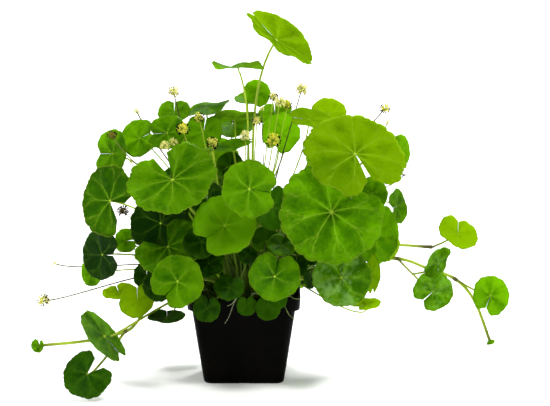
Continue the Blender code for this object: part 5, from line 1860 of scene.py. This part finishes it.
class Filling(Canopy):
    """The eased canopy, to which leaves are added where they touch nothing, the scattered ones only where
    they also hide behind others.
    """

    def __init__(self, leaves, lines):
        self.leaves, self.lines, self.kept = list(leaves), list(lines), []
        self.measure()

    def measure(self):
        super().measure()
        self.hub = np.array([leaf.hub for leaf in self.leaves])

    def pierced(self, points):
        """Whether a line comes close to a blade, or passes through one."""
        height, far, edge, _ = self.heights(points)
        over = far < edge + LINE_BESIDE
        passed = (height[:-1] * height[1:] < 0) & over[:-1] & over[1:]
        return bool(passed.any() or (over & (np.abs(height) < LINE_CLEAR)).any())

    def clear(self, leaf):
        """Whether a leaf would stay clear of the pot, the floor, the blades and the stalks."""
        rings = [leaf.surface(leaf.round(FELT_SPOTS), np.full(FELT_SPOTS, rho)) for rho in FELT_RINGS]
        points = np.vstack(rings)
        low = points[points[:, 2] < POT_HEIGHT + FILL_OVER_LIP]
        in_pot = (np.abs(low[:, :2]).max(axis=1) < POT_LIP / 2 + FILL_OFF_LIP).any()
        if in_pot or points[:, 2].min() < FILL_LOWEST:
            return False
        height, far, edge, _ = self.heights(points)
        over = far < edge + FILL_BESIDE
        both = (over & (height > 0)).any(axis=0) & (over & (height < 0)).any(axis=0)
        if both.any() or (over & (np.abs(height) < FILL_CLEAR)).any():
            return False
        alone = Filling([leaf], [])
        return not any(alone.pierced(line) for line in self.lines)

    def hidden(self, leaf):
        """Whether a leaf's margin lies behind nearer blades, or in a window, when seen from the front."""
        points = np.vstack([leaf.surface(leaf.round(SEEN_SPOTS), np.ones(SEEN_SPOTS)), leaf.hub])
        toward = SIGHT_AIM - SIGHT_LENGTH * AHEAD - points
        toward /= np.linalg.norm(toward, axis=1, keepdims=True)
        between = self.hub - points[:, None]
        normal = self.axes[:, 2]
        ahead = np.einsum("pnk,nk->pn", between, normal) / (toward @ normal.T)
        met = np.einsum("pnk,nak->pna", toward[:, None] * ahead[..., None] - between, self.axes[:, :2])
        s = self.shape
        edge = margin(np.arctan2(met[..., 1], met[..., 0]), s["half_gape"], s["radius"], s["lobes"])
        covered = ((ahead > BEHIND) & (np.linalg.norm(met, axis=-1) < COVER_SHARE * edge)).any(axis=1)
        scale = SIGHT_LENGTH / ((points - SIGHT_AIM) @ AHEAD + SIGHT_LENGTH)
        across = ((points - SIGHT_AIM) @ RIGHT) * scale + SIGHT_MIDDLE[0]
        up = ((points - SIGHT_AIM) @ LIFT) * scale + SIGHT_MIDDLE[1]
        for least, most, low, high in INNER_WINDOWS:
            covered |= (across > least) & (across < most) & (up > low) & (up < high)
        return bool(covered.all())

    def take(self, leaf, sway, foot_out, tone):
        """Adds a leaf with its stalk where both are clear of the rest."""
        foot = away_from_middle(leaf.hub) * foot_out + UP * BURIED_FOOT
        length = np.linalg.norm(leaf.hub - foot)
        rise = foot + UP * max(RISE_SHARE * length, RISE_LEAST) + (*sway, 0.0)
        before = leaf.hub - leaf.normal * REACH_SHARE * length
        four = np.array((foot, rise, before, leaf.hub - leaf.normal * PETIOLE_DEEP))
        line = bernstein(FINE_STEPS) @ four
        if not self.clear(leaf) or self.pierced(line):
            return False
        self.leaves.append(dress(leaf, tone))
        self.lines.append(line)
        self.kept.append((leaf, stalk_strand(four, stalk_thickness(leaf))))
        self.measure()
        return True

    def stalk_to(self, hub, draws):
        """A stalk from the compost to a small head that passes between the blades, if one is found."""
        for _ in range(HEAD_TRIES):
            foot = np.array((*draws.uniform(-FOOT_REACH, FOOT_REACH, 2), BURIED_FOOT))
            length = np.linalg.norm(hub - foot)
            rise = foot + UP * draws.uniform(*HEAD_RISE) * length
            rise = rise + (*draws.uniform(-HEAD_SWAY, HEAD_SWAY, 2), 0.0)
            before = hub - UP * draws.uniform(*HEAD_DROP) * length
            before = before - (hub - foot) * draws.uniform(*HEAD_BACK)
            four = np.array((foot, rise, before, hub))
            if not self.pierced(bernstein(FINE_STEPS) @ four):
                return stalk_strand(four, SMALL_STALK, SMALL_HEAD_BROWN)

    def place_inner(self, draws):
        """Adds the listed leaves, each at the first of its depths where it is clear."""
        for number, (across, up, depth, radius, turn, tilt) in enumerate(INNER_LEAVES):
            for more in DEPTHS_TRIED:
                notch = draws.uniform(0, 360)
                row = ("inner", across, up, depth + more, radius, turn, tilt, notch, INNER_GAPE)
                if self.take(Leaf(row, number), (0.0, 0.0), INNER_FEET * FOOT_REACH, INNER_TONE):
                    break

    def scatter(self, draws):
        """Tries leaves at random places of the dome, and keeps those that are hidden and clear."""
        for number in range(FILL_TRIES):
            way = draws.normal(size=3)
            way[2] = abs(way[2])
            way /= np.linalg.norm(way)
            hub = FILL_MIDDLE + FILL_REACH * way * draws.uniform(*FILL_DEPTHS) ** 0.5
            radius = draws.uniform(*FILL_RADII)
            normal = away_from_middle(hub) * draws.uniform(*FILL_LEAN) + UP * FILL_UPWARD
            normal = normal + draws.normal(size=3) * FILL_STRAY
            normal /= np.linalg.norm(normal)
            turn = math.degrees(math.atan2(normal[0], -normal[1]))
            tilt = math.degrees(math.asin(normal[2]))
            leaf = free_leaf(hub, radius, turn, tilt, draws.uniform(0, 360), INNER_GAPE, number)
            sway = draws.uniform(-FILL_SWAY, FILL_SWAY, 2)
            foot_out = draws.uniform(*FILL_FEET) * FOOT_REACH
            tone = draws.uniform(*INNER_TONES)
            if len(self.kept) < FILL_MOST and self.hidden(leaf):
                self.take(leaf, sway, foot_out, tone)


# Small heads beyond those of the solids: across, up, depth, radius, age
SMALL_HEADS = [
    (-103, 194, -34, 3.6, 1.4), (-94.5, 135, -45, 4.2, 1.5), (-62, 186, -46, 3.6, 0.3),
    (-55, 189, -40, 3.0, 0.3), (112, 204, -38, 2.2, 0.2), (125, 163, -20, 1.6, 1.5),
    (14, 215, -14, 1.8, 0.2), (-88.6, 174, -30, 1.8, 0.2),
]
HEAD_TRIES = 400
SMALL_HEAD_BROWN = 0.7
# The stalks tried for a small head: how high their first control point rises and how far it sways, and
# how far below the head and back towards the foot their second one lies, in shares of their length
HEAD_RISE, HEAD_SWAY = (0.3, 0.6), 14
HEAD_DROP, HEAD_BACK = (0.0, 0.3), (0.1, 0.3)


def make_small_heads(filling, draws):
    """Buds and small umbels with stalks of their own, each at the first depth where both are clear."""
    heads, strands = [], []
    for across, up, depth, radius, age in SMALL_HEADS:
        head = Flower(("small_heads", across, up, depth, radius))
        for more in DEPTHS_TRIED:
            head.hub = place(across, up, depth + more)
            ball = head.hub + head.radius * np.vstack([np.eye(3), -np.eye(3)])
            strand = None if filling.pierced(ball) else filling.stalk_to(head.hub, draws)
            if strand:
                finish_head(head, age, SLIGHTLY_BROWN)
                heads.append(head)
                strands.append(strand)
                break
    flowering_piece("small_heads", heads, strands)


def make_inner_leaves():
    """Leaves that close the plant at its back, its sides and inside, in one piece for each part of it."""
    lines = [bernstein(FINE_STEPS) @ four for four in canopy.controls()]
    lines += [smooth_path(path, STEM_RUN) for path in canopy.stems.values()]
    filling, draws = Filling(canopy.leaves, lines), np.random.default_rng(FILL_SEED)
    filling.place_inner(draws)
    filling.scatter(draws)
    parts = {"low": ([], []), "left": ([], []), "right": ([], [])}
    for leaf, strand in filling.kept:
        part = "low" if leaf.hub[2] < SHADE_HEIGHT else "left" if leaf.hub[0] < 0 else "right"
        parts[part][0].append(leaf)
        parts[part][1].append(strand)
    for part, (leaves, strands) in parts.items():
        # Low inner leaves take the dark finish: painted shade
        slot = "dark_leaf" if part == "low" else "leaf"
        leafy_piece(f"inner_leaves_{part}", leaves, strands, slot, slot)
    make_small_heads(filling, draws)


# The photograph's frame, how large the plant stands in it, and the camera that it asks for
FRAME = (550, 406)
PIXELS_PER_MM = 1.28
SENSOR = 36.0
CLIP_END = 50.0


def make_camera():
    """The camera that sees the plant as the photograph does."""
    camera = linked("camera", bpy.data.cameras.new("camera"))
    camera.location = (SIGHT_AIM - SIGHT_LENGTH * AHEAD) * MM
    camera.rotation_euler = (math.pi / 2 - SIGHT_TILT, 0.0, 0.0)
    camera.data.sensor_width = SENSOR
    camera.data.lens = SENSOR * SIGHT_LENGTH * PIXELS_PER_MM / FRAME[0]
    camera.data.clip_end = CLIP_END
    bpy.context.scene.camera = camera


# The floor in metres: how far it reaches each way, and how it curves up to a backdrop
FLOOR_REACH = 9.0
CURVE_RADIUS = 2.0
BACKDROP_TOP = 6.0
FLOOR_WHITES = ((0.86, 0.86, 0.86, 1), (0.9, 0.9, 0.9, 1))
FLOOR_GLOW = 0.2


def make_stage():
    """A pale floor that curves up behind the plant."""
    bm = bmesh.new()
    run = [(-FLOOR_REACH, 0.0), (FLOOR_REACH, 0.0)]
    for a in np.linspace(0.1, math.pi / 2, 16):
        run.append((FLOOR_REACH + CURVE_RADIUS * math.sin(a), CURVE_RADIUS - CURVE_RADIUS * math.cos(a)))
    run.append((FLOOR_REACH + CURVE_RADIUS, BACKDROP_TOP))
    left, right = [[bm.verts.new((x, y, z)) for y, z in run] for x in (-FLOOR_REACH, FLOOR_REACH)]
    for k in range(len(run) - 1):
        bm.faces.new((left[k], right[k], right[k + 1], left[k + 1]))
    floor = linked("floor", mesh_of(bm, "floor"))
    floor.data.shade_smooth()
    s = Surface("floor_paper")
    colour = s.mix(s.noise(s.place(), 3.0), *FLOOR_WHITES)
    paper = s.principled(
        Base_Color=colour, Roughness=0.8, Emission_Color=(1, 1, 1, 1), Emission_Strength=FLOOR_GLOW
    )
    floor.data.materials.append(s.finish(paper))


# Lights: kind, place and aim in metres, power, and how soft each is
LIGHTS = {
    "behind": ("SUN", (0.5, 1.9, 1.9), (0.0, 0.0, 0.0), 5.0, dict(angle=math.radians(16))),
    "key": ("SUN", (0.7, -1.3, 1.9), (0.0, 0.0, 0.0), 2.8, dict(angle=math.radians(14))),
    "left": ("AREA", (-1.6, -0.6, 0.9), (0.0, 0.0, 0.15), 9.0, dict(shape="DISK", size=0.8)),
}
SURROUND = 0.3


def make_lights():
    """Soft light from behind and from the front, a fill from the left, and an even white surround."""
    for name, (kind, spot, aim, power, softness) in LIGHTS.items():
        light = linked(name, bpy.data.lights.new(name, kind))
        light.data.energy = power
        for key, value in softness.items():
            setattr(light.data, key, value)
        light.location = spot
        light.rotation_euler = (Vector(aim) - Vector(spot)).to_track_quat("-Z", "Y").to_euler()
    world = bpy.data.worlds.new("studio")
    world.use_nodes = True
    surround = world.node_tree.nodes["Background"].inputs
    surround["Color"].default_value = (1, 1, 1, 1)
    surround["Strength"].default_value = SURROUND
    bpy.context.scene.world = world
    bpy.context.scene.view_settings.view_transform = "Standard"


canopy = Canopy()
canopy.settle()
looks_draws = np.random.default_rng(LOOKS_SEED)
finish_canopy()
make_leaves()
make_inner_leaves()
make_flowers()
make_stems()
make_pot()
make_compost()
make_roots()
make_camera()
make_stage()
make_lights()
